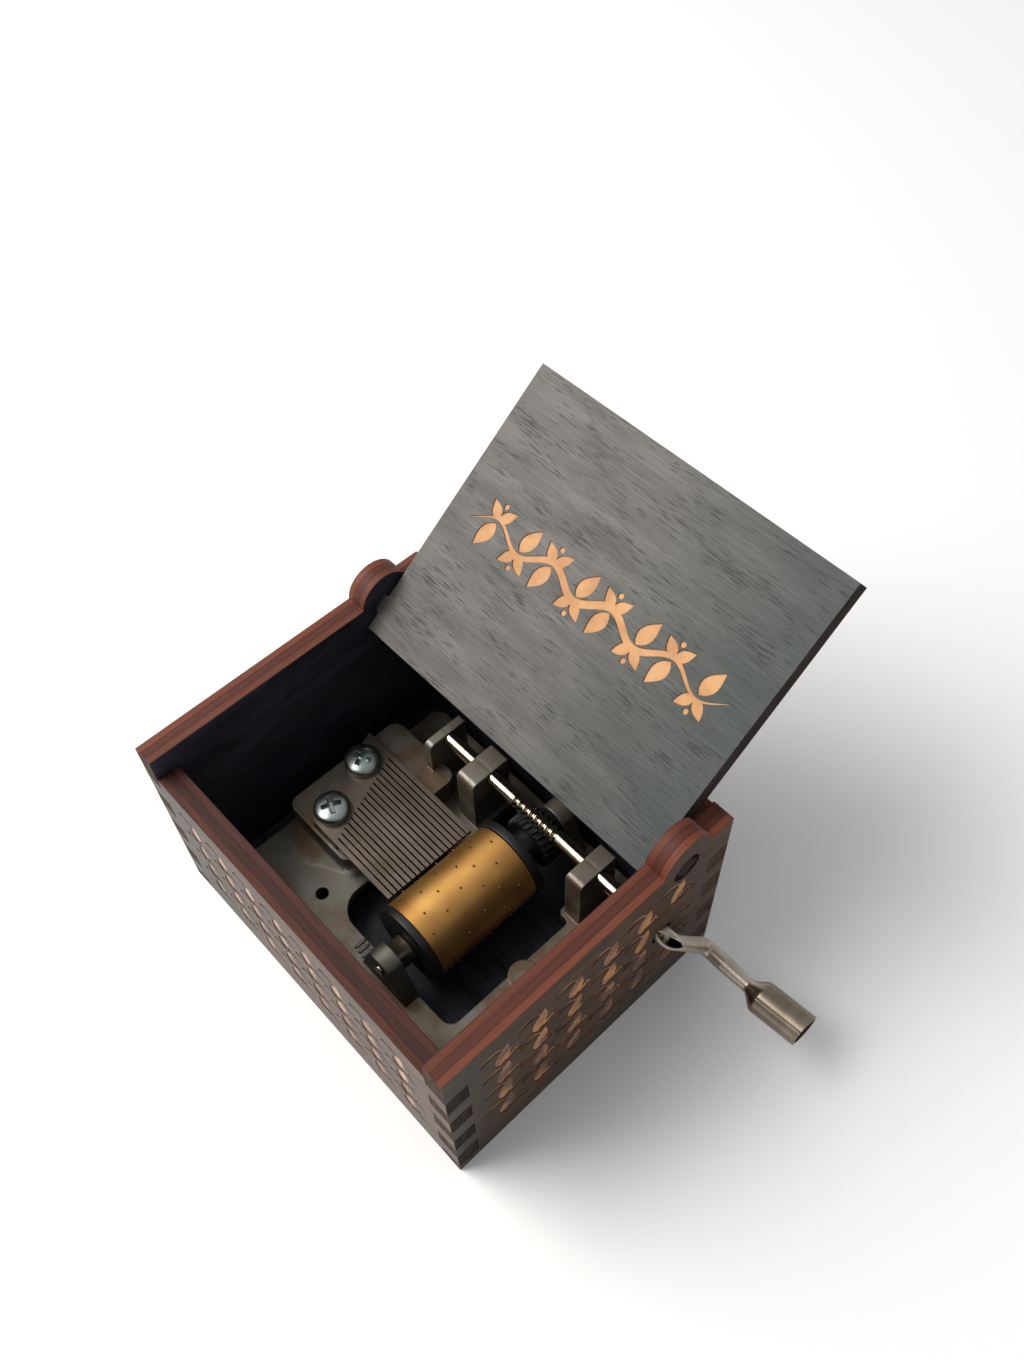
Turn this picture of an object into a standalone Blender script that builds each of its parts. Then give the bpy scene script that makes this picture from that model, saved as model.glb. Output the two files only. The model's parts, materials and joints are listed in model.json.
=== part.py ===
"""Hand-cranked music box: a finger jointed plywood box with a comb and cylinder movement.

The origin is the middle of the underside. X runs towards the crank, Y from the
front wall to the back wall, Z up. All lengths are metres.
"""
import math

import bmesh
import bpy
from mathutils import Matrix, Vector

# Plywood box
PLY = 0.0035
SIDE_HEIGHT = 0.038
BACK_WALL_DROP = 0.0006
JOINT_GAP = 0.00015
FINGER_HEIGHT = 0.0041
FINGER_START = 0.0024
EAR_RADIUS = 0.0044
EAR_DROP = 0.0002
SHAFT_HOLE_RADIUS = 0.0019

# Lid with its two hinge tabs
LID_THICKNESS = 0.0035
LID_SIDE_GAP = 0.0004
LID_FRONT_INSET = 0.0001
LID_CLOSED_GAP = 0.0003
LID_REST_GAP = 0.00025
LID_TAIL = 0.0043
TAB_WIDTH = 0.0028
TAB_CLEARANCE = 0.00016
TAB_END_INSET = 0.0001
PIVOT_DROP = 0.0022
PIVOT_FROM_BACK = 0.0088

# Cast bedplate and the room round it
PLATE_LEFT_GAP = 0.0046
PLATE_RIGHT_GAP = 0.0018
PLATE_FRONT_GAP = 0.0017
PLATE_BACK_GAP = 0.0017
PLATE_RIGHT_MARGIN = 0.0067
PLATE_CLEARANCE = 0.0039
PLATE_THICKNESS = 0.0016
PLATE_CORNER_RADIUS = 0.002
SMALL_HOLE_RADIUS = 0.001
SMALL_HOLE_X = 0.0132
SMALL_HOLE_Y = 0.0053
FRONT_RIM = 0.0029
REAR_RIM = 0.0011

# Opening under the barrel
OPENING_LEFT_MARGIN = 0.0018
OPENING_RIGHT_REACH = 0.0116
OPENING_LEFT_LENGTH = 0.0178
OPENING_FRONT_RADIUS = 0.0042
OPENING_CORNER_RADIUS = 0.0018
OPENING_STEP_RADIUS = 0.0008
UPRIGHT_EDGE = 0.0007

# Arbor bearings
AXIS_HEIGHT = 0.0056
LUG_THICKNESS = 0.0026
LUG_FOOT_HALF = 0.0049
LUG_HEAD_RADIUS = 0.003
BEARING_RADIUS = 0.0022
BEARING_REACH = 0.0024
REAR_LUG_THICKNESS = 0.0024
ARBOR_RADIUS = 0.0009
ARBOR_END = 0.0003

# Uprights that carry the crank shaft
UPRIGHT_FRONT = 0.0039
UPRIGHT_BACK = 0.0034
UPRIGHT_RISE = 0.0014
UPRIGHT_CORNER_RADIUS = 0.001
UPRIGHT_EDGE_RADIUS = 0.0003
LEFT_UPRIGHT_X = 0.01
LEFT_UPRIGHT_THICKNESS = 0.0014
MIDDLE_UPRIGHT_REACH = 0.0098
MIDDLE_UPRIGHT_THICKNESS = 0.0036
RIGHT_UPRIGHT_REACH = 0.01
RIGHT_UPRIGHT_THICKNESS = 0.003

# Comb platform and comb
PLATFORM_LENGTH = 0.0146
PLATFORM_FRONT_MARGIN = 0.0004
PLATFORM_BACK_MARGIN = 0.0055
PLATFORM_CORNER_RADIUS = 0.0018
COMB_TEETH = 18
COMB_WIDTH = 0.0162
COMB_THICKNESS = 0.0022
COMB_RISE = 0.0022
COMB_FRONT_MARGIN = 0.0009
COMB_SLANT_SHARE = 0.38
COMB_ROOT_MARGIN = 0.0021
SLIT_MARGIN = 0.0034
SLIT_WIDTH = 0.00026
TOOTH_THICKNESS = 0.0007
TIP_LENGTH = 0.0022
WEIGHT_LENGTH = 0.0036
WEIGHT_THICKNESS = 0.0011
WEIGHTED_SHARE = 0.6
SCREW_LINE_FROM_LEFT = 0.0055
SCREW_LINE_TO_AXIS = 0.0254
COMB_SCREW_FRONT = 0.00327
COMB_SCREW_BACK = 0.00423

# Screws
SEAT_GAP = 0.0001
SCREW_HEAD_RADIUS = 0.00285
SCREW_HEAD_HEIGHT = 0.0019
SCREW_SHANK_RADIUS = 0.00125
SCREW_HOLE_CLEARANCE = 0.00012
CROSS_WIDTH = 0.0008
CROSS_REACH = 0.0016
CROSS_DEPTH = 0.0009
COMB_SCREW_LENGTH = 0.0062
COUNTERBORE_RADIUS = 0.0033
COUNTERBORE_DEPTH = 0.0023
BOSS_RADIUS = 0.0024
RIGHT_BOSS_RISE = 0.0005
BORE_CAP = 0.0005
SCREW_END_GAP = 0.0003
BOSS_STANDOFF = 0.0002
FRONT_BOSS_X = 0.0076
FRONT_BOSS_Y = 0.0044
RIGHT_BOSS_X = 0.0065
RIGHT_BOSS_Y = 0.0185
REAR_BOSS_X = 0.0044
REAR_BOSS_Y = 0.0042

# Barrel with its pins and end mouldings
RUN_GAP = 0.0002
BARREL_RADIUS = 0.00635
BARREL_WALL = 0.0006
BARREL_END_MARGIN = 0.001
PIN_COUNT = 66
PIN_RADIUS = 0.00016
PIN_HEIGHT = 0.0003
PIN_STEP_SHARE = 0.3819
TIP_CLEARANCE = 0.00015
CAP_THICKNESS = 0.0013
CAP_OVERHANG = 0.0001
SPIGOT_LENGTH = 0.0015
FLANGE_THICKNESS = 0.0014
FLANGE_OVERHANG = 0.00025
GEAR_HUB_RADIUS = 0.0026
GEAR_HUB_LENGTH = 0.00275
GEAR_COLLAR_LENGTH = 0.0011
GEAR_TEETH = 24
GEAR_WIDTH = 0.004
TOOTH_TIP_SHARE = 0.1
TOOTH_ROOT_SHARE = 0.24

# Crank shaft and worm
SHAFT_RADIUS = 0.00115
SHAFT_CLEARANCE = 0.00015
SHAFT_END_INSET = 0.0003
WORM_PITCH = 0.00114
WORM_RADIUS = 0.001
WORM_TOOTH = 0.00023
WORM_LENGTH = 0.0088
MESH_GAP = 0.00015
COLLAR_RADIUS = 0.0024
COLLAR_LENGTH = 0.0018
COLLAR_WALL_GAP = 0.0003

# Crank rolled from one strip of sheet
CRANK_REST_DEGREES = -55.5
CRANK_THROW = 0.012
CRANK_SHEET = 0.00045
CRANK_WALL_GAP = 0.0002
SLEEVE_DEPTH = 0.0028
SHAFT_END_RADIUS = 0.0009
SHAFT_STEP = 0.0001
SHAFT_STUB = 0.0001
FIRST_BEND_RADIUS = 0.0016
FIRST_BEND_DEGREES = 82.0
SECOND_BEND_RADIUS = 0.0018
ARM_RADIUS = 0.00125
NECK_RADIUS = 0.0013
WAIST_RADIUS = 0.0011
GRIP_RADIUS = 0.0026
NECK_LENGTH = 0.0067
FLARE_LENGTH = 0.0027
GRIP_LENGTH = 0.0073
GRIP_TILT_DEGREES = 4.4
SEAM_DEGREES = 6.0
EYE_DEGREES = 100.0
EYE_LEAD = 0.0008
EYE_RUN = 0.0016

# How finely round things are faceted
ROUND_SIDES = 48
SMALL_SIDES = 24
PIN_SIDES = 6
ARC_STEPS = 6
EAR_STEPS = 20
WORM_SIDES = 16
WORM_ROWS_PER_TURN = 6
CRANK_COLUMNS = 18
CRANK_BEND_ROWS = 8
CRANK_FLARE_ROWS = 6
HELIX_ROWS = 4
SHARP_DEGREES = 35.0
WELD_DISTANCE = 0.000001
CUT_OVERRUN = 0.001

FACING_X = (math.pi / 2, 0, math.pi / 2)
FACING_Y = (math.pi / 2, 0, 0)
FACING_Z = (0, 0, 0)
ALONG_X = (0, math.pi / 2, 0)
ALONG_Y = (-math.pi / 2, 0, 0)
ALONG_Z = (0, 0, 0)


# Places along X, from the left wall to the crank
AXIS_FROM_LEFT = SCREW_LINE_FROM_LEFT + SCREW_LINE_TO_AXIS
PLATE_LENGTH = AXIS_FROM_LEFT + RIGHT_UPRIGHT_REACH + RIGHT_UPRIGHT_THICKNESS + PLATE_RIGHT_MARGIN
INNER_WIDTH = PLATE_LEFT_GAP + PLATE_LENGTH + PLATE_RIGHT_GAP
INNER_RIGHT = INNER_WIDTH / 2
INNER_LEFT = -INNER_RIGHT
OUTER_RIGHT = INNER_RIGHT + PLY
PLATE_LEFT = INNER_LEFT + PLATE_LEFT_GAP
PLATE_RIGHT = PLATE_LEFT + PLATE_LENGTH
AXIS_X = PLATE_LEFT + AXIS_FROM_LEFT
COMB_SCREW_LINE = PLATE_LEFT + SCREW_LINE_FROM_LEFT
LEFT_UPRIGHT = PLATE_LEFT + LEFT_UPRIGHT_X
MIDDLE_UPRIGHT = AXIS_X - MIDDLE_UPRIGHT_REACH - MIDDLE_UPRIGHT_THICKNESS
RIGHT_UPRIGHT = AXIS_X + RIGHT_UPRIGHT_REACH

# Depths of the movement's parts, added up from the front wall to the back wall
PLATE_DEPTH_TO_LUG = FRONT_RIM + LUG_THICKNESS + BEARING_REACH + RUN_GAP
DRIVE_LENGTH = FLANGE_THICKNESS + GEAR_HUB_LENGTH + GEAR_WIDTH + GEAR_COLLAR_LENGTH
BARREL_LENGTH = COMB_FRONT_MARGIN + COMB_WIDTH + BARREL_END_MARGIN
PLATE_DEPTH = (PLATE_DEPTH_TO_LUG + CAP_THICKNESS + BARREL_LENGTH + JOINT_GAP + DRIVE_LENGTH
               + RUN_GAP + REAR_LUG_THICKNESS + REAR_RIM)
INNER_DEPTH = PLATE_FRONT_GAP + PLATE_DEPTH + PLATE_BACK_GAP
INNER_BACK = INNER_DEPTH / 2
INNER_FRONT = -INNER_BACK
OUTER_BACK = INNER_BACK + PLY
PLATE_FRONT = INNER_FRONT + PLATE_FRONT_GAP
PLATE_BACK = PLATE_FRONT + PLATE_DEPTH
LUG_FRONT = PLATE_FRONT + FRONT_RIM
LUG_BACK = LUG_FRONT + LUG_THICKNESS
CAP_FRONT = PLATE_FRONT + PLATE_DEPTH_TO_LUG
BARREL_FRONT = CAP_FRONT + CAP_THICKNESS
BARREL_BACK = BARREL_FRONT + BARREL_LENGTH
FLANGE_FRONT = BARREL_BACK + JOINT_GAP
GEAR_FRONT = FLANGE_FRONT + FLANGE_THICKNESS + GEAR_HUB_LENGTH
GEAR_BACK = GEAR_FRONT + GEAR_WIDTH
DRIVE_BACK = FLANGE_FRONT + DRIVE_LENGTH
REAR_LUG_FRONT = DRIVE_BACK + RUN_GAP
REAR_LUG_BACK = REAR_LUG_FRONT + REAR_LUG_THICKNESS
SHAFT_Y = (GEAR_FRONT + GEAR_BACK) / 2
COMB_FRONT = BARREL_FRONT + COMB_FRONT_MARGIN
COMB_BACK = COMB_FRONT + COMB_WIDTH
COMB_SCREW_SPREAD = COMB_WIDTH - COMB_SCREW_FRONT - COMB_SCREW_BACK
COMB_SCREW_MIDDLE = COMB_FRONT + COMB_SCREW_FRONT + COMB_SCREW_SPREAD / 2
PIVOT_Y = OUTER_BACK - PIVOT_FROM_BACK

# Heights
PLATE_UNDER = PLY + PLATE_CLEARANCE
PLATE_TOP = PLATE_UNDER + PLATE_THICKNESS
AXIS_Z = PLATE_TOP + AXIS_HEIGHT
GEAR_PITCH_RADIUS = GEAR_TEETH * WORM_PITCH / (2 * math.pi)
SHAFT_Z = AXIS_Z + GEAR_PITCH_RADIUS + WORM_RADIUS
UPRIGHT_TOP = SHAFT_Z + UPRIGHT_RISE
COMB_TOP = AXIS_Z + COMB_RISE
COMB_UNDER = COMB_TOP - COMB_THICKNESS
PLATFORM_TOP = COMB_UNDER - SEAT_GAP
BORE_TOP = PLATE_TOP - BORE_CAP
PIVOT_Z = SIDE_HEIGHT - PIVOT_DROP
PIVOT_HOLE_RADIUS = math.hypot(LID_THICKNESS, TAB_WIDTH) / 2 + TAB_CLEARANCE
FRONT_HEIGHT = PIVOT_Z - LID_THICKNESS / 2 - LID_CLOSED_GAP
BACK_HEIGHT = SIDE_HEIGHT - BACK_WALL_DROP

# Comb tips lie just outside the circle that the pins sweep
PIN_CIRCLE = BARREL_RADIUS + PIN_HEIGHT
TIP_CIRCLE = PIN_CIRCLE + TIP_CLEARANCE
TIP_X = AXIS_X - math.sqrt(TIP_CIRCLE ** 2 - (COMB_RISE - TOOTH_THICKNESS) ** 2)


def clear_scene():
    """Start from an empty file."""
    for item in list(bpy.data.objects):
        bpy.data.objects.remove(item, do_unlink=True)


def new_collection(name):
    """Add a collection to the scene."""
    collection = bpy.data.collections.new(name)
    bpy.context.scene.collection.children.link(collection)
    return collection


def material(name, colour, roughness, metallic):
    """Principled material with one colour."""
    made = bpy.data.materials.new(name)
    made.use_nodes = True
    shader = made.node_tree.nodes["Principled BSDF"]
    shader.inputs["Base Color"].default_value = (*colour, 1)
    shader.inputs["Roughness"].default_value = roughness
    shader.inputs["Metallic"].default_value = metallic
    return made


def mesh_object(name, build):
    """Object whose mesh the given function fills in."""
    mesh = bpy.data.meshes.new(name)
    work = bmesh.new()
    build(work)
    bmesh.ops.recalc_face_normals(work, faces=work.faces)
    work.to_mesh(mesh)
    work.free()
    made = bpy.data.objects.new(name, mesh)
    PART.objects.link(made)
    return made


def flat_piece(name, loops, thickness, facing=FACING_Z, location=(0, 0, 0)):
    """Board or plate from closed outlines, centred on its thickness; later loops are holes."""
    curve = bpy.data.curves.new(name, "CURVE")
    curve.dimensions = "2D"
    curve.fill_mode = "BOTH"
    curve.extrude = thickness / 2
    for loop in loops:
        spline = curve.splines.new("POLY")
        spline.points.add(len(loop) - 1)
        for point, (across, up) in zip(spline.points, loop):
            point.co = (across, up, 0, 1)
        spline.use_cyclic_u = True
    drawn = bpy.data.objects.new(name + "_outline", curve)
    PART.objects.link(drawn)
    drawn.rotation_euler = facing
    drawn.location = location
    made = solid_from_curve(name, drawn)
    return made


def solid_from_curve(name, drawn):
    """Turn a filled curve into one welded mesh at the same place."""
    bpy.context.view_layer.update()
    graph = bpy.context.evaluated_depsgraph_get()
    mesh = bpy.data.meshes.new_from_object(drawn.evaluated_get(graph))
    work = bmesh.new()
    work.from_mesh(mesh)
    bmesh.ops.remove_doubles(work, verts=work.verts, dist=WELD_DISTANCE)
    bmesh.ops.recalc_face_normals(work, faces=work.faces)
    work.to_mesh(mesh)
    work.free()
    made = bpy.data.objects.new(name, mesh)
    PART.objects.link(made)
    made.matrix_world = drawn.matrix_world.copy()
    bpy.data.objects.remove(drawn, do_unlink=True)
    return made


def box(name, low, high):
    """Block between two corners."""
    def build(work):
        size = Vector(high) - Vector(low)
        middle = (Vector(high) + Vector(low)) / 2
        place = Matrix.Translation(middle) @ Matrix.Diagonal((*size, 1))
        bmesh.ops.create_cube(work, size=1, matrix=place)
    return mesh_object(name, build)


def rod(name, radius, length, along, centre, sides=SMALL_SIDES):
    """Plain cylinder about its centre."""
    def build(work):
        bmesh.ops.create_cone(work, cap_ends=True, segments=sides, radius1=radius,
                              radius2=radius, depth=length)
    made = mesh_object(name, build)
    made.rotation_euler = along
    made.location = centre
    return made


def turned(name, profile, along, centre, sides=ROUND_SIDES, closed=False):
    """Piece turned from a profile of radius and height that runs down its outer side."""
    mesh = bpy.data.meshes.new(name)
    edges = [(index, index + 1) for index in range(len(profile) - 1)]
    if closed:
        edges.append((len(profile) - 1, 0))
    mesh.from_pydata([(radius, 0, height) for radius, height in profile], edges, [])
    made = bpy.data.objects.new(name, mesh)
    PART.objects.link(made)
    screw = made.modifiers.new("Turn", "SCREW")
    screw.axis = "Z"
    screw.steps = sides
    screw.render_steps = sides
    screw.use_merge_vertices = True
    screw.merge_threshold = WELD_DISTANCE
    made.rotation_euler = along
    made.location = centre
    return made


def guide(tool):
    """Hide a tool that only shapes another piece."""
    PART.objects.unlink(tool)
    CUTTERS.objects.link(tool)
    tool.hide_render = True
    tool.display_type = "WIRE"


def combine(target, tool, operation):
    """Boolean with a tool that is given in the target's own coordinates."""
    tool.parent = target
    guide(tool)
    change = target.modifiers.new(tool.name, "BOOLEAN")
    change.operation = operation
    change.solver = "EXACT"
    change.object = tool


def cut(target, tool):
    """Take a tool's shape out of a piece."""
    combine(target, tool, "DIFFERENCE")


def join(target, tool):
    """Make a tool's shape part of a piece."""
    combine(target, tool, "UNION")


def arc(centre, radius, start, end, steps):
    """Points along an arc, angles in radians."""
    angles = [start + (end - start) * step / steps for step in range(steps + 1)]
    return [(centre[0] + radius * math.cos(angle), centre[1] + radius * math.sin(angle))
            for angle in angles]


def circle(centre, radius, sides=SMALL_SIDES):
    """Closed circle as points."""
    return arc(centre, radius, 0, 2 * math.pi, sides)[:-1]


def rounded(corners, steps=ARC_STEPS):
    """Polygon whose corners, given as across, up and radius, are replaced by arcs."""
    points = []
    for index, (across, up, radius) in enumerate(corners):
        corner = Vector((across, up))
        before = (Vector(corners[index - 1][:2]) - corner).normalized()
        after = (Vector(corners[(index + 1) % len(corners)][:2]) - corner).normalized()
        half = before.angle(after) / 2
        centre = corner + (before + after).normalized() * radius / math.sin(half)
        first = corner + before * radius / math.tan(half) - centre
        turn = first.angle_signed(corner + after * radius / math.tan(half) - centre)
        begin = math.atan2(first.y, first.x)
        points += arc(centre, radius, begin, begin - turn, steps)
    return points


def rounded_rectangle(left, right, low, high, radius):
    """Rectangle with four equal round corners."""
    return rounded([(left, low, radius), (right, low, radius),
                    (right, high, radius), (left, high, radius)])


def finish(piece, look, parent=None, smooth=True):
    """Give a piece its material, its shading and the axis that carries it."""
    piece.data.materials.clear()
    piece.data.materials.append(look)
    if smooth:
        piece.data.shade_smooth()
        piece.data.set_sharp_from_angle(angle=math.radians(SHARP_DEGREES))
    if parent:
        piece.parent = parent
    return piece


def axis_empty(name, location):
    """Empty on a joint's axis."""
    made = bpy.data.objects.new(name, None)
    made.location = location
    PART.objects.link(made)
    return made


def finger_spans(height):
    """Lower and upper height of each finger on the end of a board."""
    pitch = 2 * FINGER_HEIGHT
    count = int((height - FINGER_START - FINGER_HEIGHT) / pitch) + 1
    starts = [FINGER_START + pitch * number for number in range(count)]
    return [(start, start + FINGER_HEIGHT) for start in starts]


def stepped_edge(edge, inner, spans, gap):
    """Points up one edge of a board that steps to a second line along each span."""
    points = []
    for low, high in spans:
        points += [(edge, low - gap), (inner, low - gap), (inner, high + gap), (edge, high + gap)]
    return points


def end_wall(name, y, height):
    """Front or back wall: fingers at both ends reach through the side walls."""
    shoulder = INNER_RIGHT - JOINT_GAP
    right = stepped_edge(shoulder, OUTER_RIGHT, finger_spans(height), 0)
    left = [(-across, up) for across, up in reversed(right)]
    outline = [(-shoulder, 0), (shoulder, 0)] + right + [(shoulder, height), (-shoulder, height)] + left
    return flat_piece(name, [outline], PLY, FACING_Y, (0, y, 0))


def side_wall(name, x, holes):
    """Side wall: notches for the end walls' fingers and the ear round the pivot."""
    notch = INNER_BACK - JOINT_GAP
    back = stepped_edge(OUTER_BACK, notch, finger_spans(BACK_HEIGHT), JOINT_GAP)
    front = stepped_edge(-OUTER_BACK, -notch, finger_spans(FRONT_HEIGHT), JOINT_GAP)
    ear_centre = (PIVOT_Y, SIDE_HEIGHT - EAR_DROP)
    lift = math.asin(EAR_DROP / EAR_RADIUS)
    ear = arc(ear_centre, EAR_RADIUS, lift, math.pi - lift, EAR_STEPS)
    outline = [(-OUTER_BACK, 0), (OUTER_BACK, 0)] + back + [(OUTER_BACK, SIDE_HEIGHT)]
    outline += ear + [(-OUTER_BACK, SIDE_HEIGHT)] + list(reversed(front))
    return flat_piece(name, [outline] + holes, PLY, FACING_X, (x, 0, 0))


def boss_places():
    """Middles of the three bosses that the base screws enter."""
    return [(PLATE_LEFT + FRONT_BOSS_X, PLATE_FRONT + FRONT_BOSS_Y),
            (PLATE_RIGHT - RIGHT_BOSS_X, PLATE_FRONT + RIGHT_BOSS_Y),
            (PLATE_LEFT + REAR_BOSS_X, PLATE_BACK - REAR_BOSS_Y)]


def boss_tops():
    """Tops of the bosses: two end inside the plate and the right one stands up from it."""
    hidden = PLATE_TOP - PLATE_THICKNESS / 2
    return [hidden, PLATE_TOP + RIGHT_BOSS_RISE, hidden]


def bottom_panel():
    """Floor board between the walls, counterbored from below for the base screws."""
    reach_x = INNER_RIGHT - JOINT_GAP
    reach_y = INNER_BACK - JOINT_GAP
    outline = [(-reach_x, -reach_y), (reach_x, -reach_y), (reach_x, reach_y), (-reach_x, reach_y)]
    clearance = SCREW_SHANK_RADIUS + SHAFT_CLEARANCE
    holes = [circle(place, clearance) for place in boss_places()]
    board = flat_piece("bottom_panel", [outline] + holes, PLY, FACING_Z, (0, 0, PLY / 2))
    for number, (x, y) in enumerate(boss_places()):
        height = COUNTERBORE_DEPTH + CUT_OVERRUN
        middle = (COUNTERBORE_DEPTH - CUT_OVERRUN) / 2 - PLY / 2
        cut(board, rod(f"counterbore_{number}", COUNTERBORE_RADIUS, height, ALONG_Z, (x, y, middle)))
    return board


def lid_rest_degrees():
    """Slope of the open lid where its outer face meets the back wall's top inner edge."""
    reach = INNER_BACK - PIVOT_Y
    rise = BACK_HEIGHT - PIVOT_Z
    offset = LID_THICKNESS / 2 + LID_REST_GAP
    return math.degrees(math.asin(offset / math.hypot(reach, rise)) + math.atan2(rise, reach))


def lid(hinge):
    """Lid board drawn closed about its pivot, with a tab on each side as a hinge pin."""
    half = INNER_RIGHT - LID_SIDE_GAP
    end = OUTER_RIGHT - TAB_END_INSET
    tab = TAB_WIDTH / 2
    front = -OUTER_BACK + LID_FRONT_INSET - PIVOT_Y
    right = [(half, front), (half, -tab), (end, -tab), (end, tab), (half, tab), (half, LID_TAIL)]
    left = [(-across, along) for across, along in reversed(right)]
    board = flat_piece("lid", [right + left], LID_THICKNESS)
    board.parent = hinge
    return board


def opening_outline():
    """Opening in the bedplate: wide under the barrel, narrow between the uprights."""
    left = PLATE_LEFT + PLATFORM_LENGTH + OPENING_LEFT_MARGIN
    right = AXIS_X + OPENING_RIGHT_REACH
    narrow_left = MIDDLE_UPRIGHT + MIDDLE_UPRIGHT_THICKNESS + UPRIGHT_EDGE
    narrow_right = RIGHT_UPRIGHT - UPRIGHT_EDGE
    step = SHAFT_Y - UPRIGHT_FRONT - UPRIGHT_EDGE
    left_step = LUG_BACK + OPENING_LEFT_LENGTH
    return rounded([(left, LUG_BACK, OPENING_FRONT_RADIUS), (right, LUG_BACK, OPENING_CORNER_RADIUS),
                    (right, step, OPENING_STEP_RADIUS), (narrow_right, step, OPENING_STEP_RADIUS),
                    (narrow_right, REAR_LUG_FRONT, OPENING_STEP_RADIUS),
                    (narrow_left, REAR_LUG_FRONT, OPENING_STEP_RADIUS),
                    (narrow_left, left_step, OPENING_STEP_RADIUS),
                    (left, left_step, OPENING_STEP_RADIUS)])


def upright(name, left, thickness):
    """Upright for the crank shaft, rounded at its two top corners."""
    front = SHAFT_Y - UPRIGHT_FRONT
    back = SHAFT_Y + UPRIGHT_BACK
    foot = PLATE_TOP - PLATE_THICKNESS / 2
    low = [(front, foot), (back, foot)]
    top = rounded([(front, foot, UPRIGHT_EDGE_RADIUS), (back, foot, UPRIGHT_EDGE_RADIUS),
                   (back, UPRIGHT_TOP, UPRIGHT_EDGE_RADIUS),
                   (front, UPRIGHT_TOP, UPRIGHT_CORNER_RADIUS)])
    outline = low + [point for point in top if point[1] > SHAFT_Z]
    return flat_piece(name, [outline], thickness, FACING_X, (left + thickness / 2, 0, 0))


def arbor_lug(name, front, thickness):
    """Bearing lug for the arbor: a wide foot that narrows to a round head."""
    slope = math.atan2(AXIS_HEIGHT, LUG_FOOT_HALF)
    foot = PLATE_TOP - PLATE_THICKNESS / 2
    head = arc((AXIS_X, AXIS_Z), LUG_HEAD_RADIUS, math.pi / 2 - slope, math.pi / 2 + slope, EAR_STEPS)
    outline = [(AXIS_X - LUG_FOOT_HALF, foot), (AXIS_X + LUG_FOOT_HALF, foot),
               (AXIS_X + LUG_FOOT_HALF, PLATE_TOP)] + head + [(AXIS_X - LUG_FOOT_HALF, PLATE_TOP)]
    return flat_piece(name, [outline], thickness, FACING_Y, (0, front + thickness / 2, 0))


def platform():
    """Raised block of the casting that the comb is screwed to."""
    low = COMB_FRONT - PLATFORM_FRONT_MARGIN
    high = COMB_BACK + PLATFORM_BACK_MARGIN
    outline = rounded_rectangle(PLATE_LEFT, PLATE_LEFT + PLATFORM_LENGTH, low, high,
                                PLATFORM_CORNER_RADIUS)
    foot = PLATE_TOP - PLATE_THICKNESS / 2
    height = PLATFORM_TOP - foot
    return flat_piece("platform", [outline], height, FACING_Z, (0, 0, foot + height / 2))


def bedplate():
    """Cast bedplate with its platform, bosses, uprights and arbor bearings."""
    rim = rounded_rectangle(PLATE_LEFT, PLATE_RIGHT, PLATE_FRONT, PLATE_BACK, PLATE_CORNER_RADIUS)
    small = circle((PLATE_LEFT + SMALL_HOLE_X, PLATE_FRONT + SMALL_HOLE_Y), SMALL_HOLE_RADIUS)
    plate = flat_piece("bedplate", [rim, opening_outline(), small], PLATE_THICKNESS)
    plate.location = (0, 0, 0)
    plate.data.transform(Matrix.Translation((0, 0, PLATE_UNDER + PLATE_THICKNESS / 2)))
    join(plate, platform())
    low = PLY + BOSS_STANDOFF
    for number, ((x, y), high) in enumerate(zip(boss_places(), boss_tops())):
        join(plate, rod(f"boss_{number}", BOSS_RADIUS, high - low, ALONG_Z, (x, y, (low + high) / 2)))
    join(plate, upright("left_upright", LEFT_UPRIGHT, LEFT_UPRIGHT_THICKNESS))
    join(plate, upright("middle_upright", MIDDLE_UPRIGHT, MIDDLE_UPRIGHT_THICKNESS))
    join(plate, upright("right_upright", RIGHT_UPRIGHT, RIGHT_UPRIGHT_THICKNESS))
    join(plate, arbor_lug("front_lug", LUG_FRONT, LUG_THICKNESS))
    join(plate, arbor_lug("rear_lug", REAR_LUG_FRONT, REAR_LUG_THICKNESS))
    start = (LUG_FRONT + LUG_BACK) / 2
    length = LUG_BACK + BEARING_REACH - start
    join(plate, rod("front_bearing", BEARING_RADIUS, length, ALONG_Y, (AXIS_X, start + length / 2, AXIS_Z)))
    drill_bedplate(plate)
    return plate


def drill_bedplate(plate):
    """Holes for the shaft, the arbor and the screws."""
    bore = SHAFT_RADIUS + SHAFT_CLEARANCE
    cut(plate, rod("shaft_bore", bore, 2 * INNER_WIDTH, ALONG_X, (0, SHAFT_Y, SHAFT_Z)))
    bore = ARBOR_RADIUS + SHAFT_CLEARANCE
    cut(plate, rod("arbor_bore", bore, INNER_DEPTH, ALONG_Y, (AXIS_X, 0, AXIS_Z)))
    bore = SCREW_SHANK_RADIUS + SCREW_HOLE_CLEARANCE
    for number, (x, y) in enumerate(boss_places()):
        cut(plate, rod(f"base_bore_{number}", bore, BORE_TOP, ALONG_Z, (x, y, BORE_TOP / 2)))
    for number, (x, y) in enumerate(comb_screw_places()):
        depth = COMB_SCREW_LENGTH + CUT_OVERRUN
        cut(plate, rod(f"comb_bore_{number}", bore, depth, ALONG_Z, (x, y, COMB_TOP - depth / 2)))


def comb_screw_places():
    """Middles of the two comb screws, on the slanted screw line."""
    half = COMB_SCREW_SPREAD / 2
    return [(COMB_SCREW_LINE - COMB_SLANT_SHARE * half, COMB_SCREW_MIDDLE + half),
            (COMB_SCREW_LINE + COMB_SLANT_SHARE * half, COMB_SCREW_MIDDLE - half)]


def slanted(offset, y):
    """X of a line parallel to the screw line at the given depth."""
    return COMB_SCREW_LINE + offset - COMB_SLANT_SHARE * (y - COMB_SCREW_MIDDLE)


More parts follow.
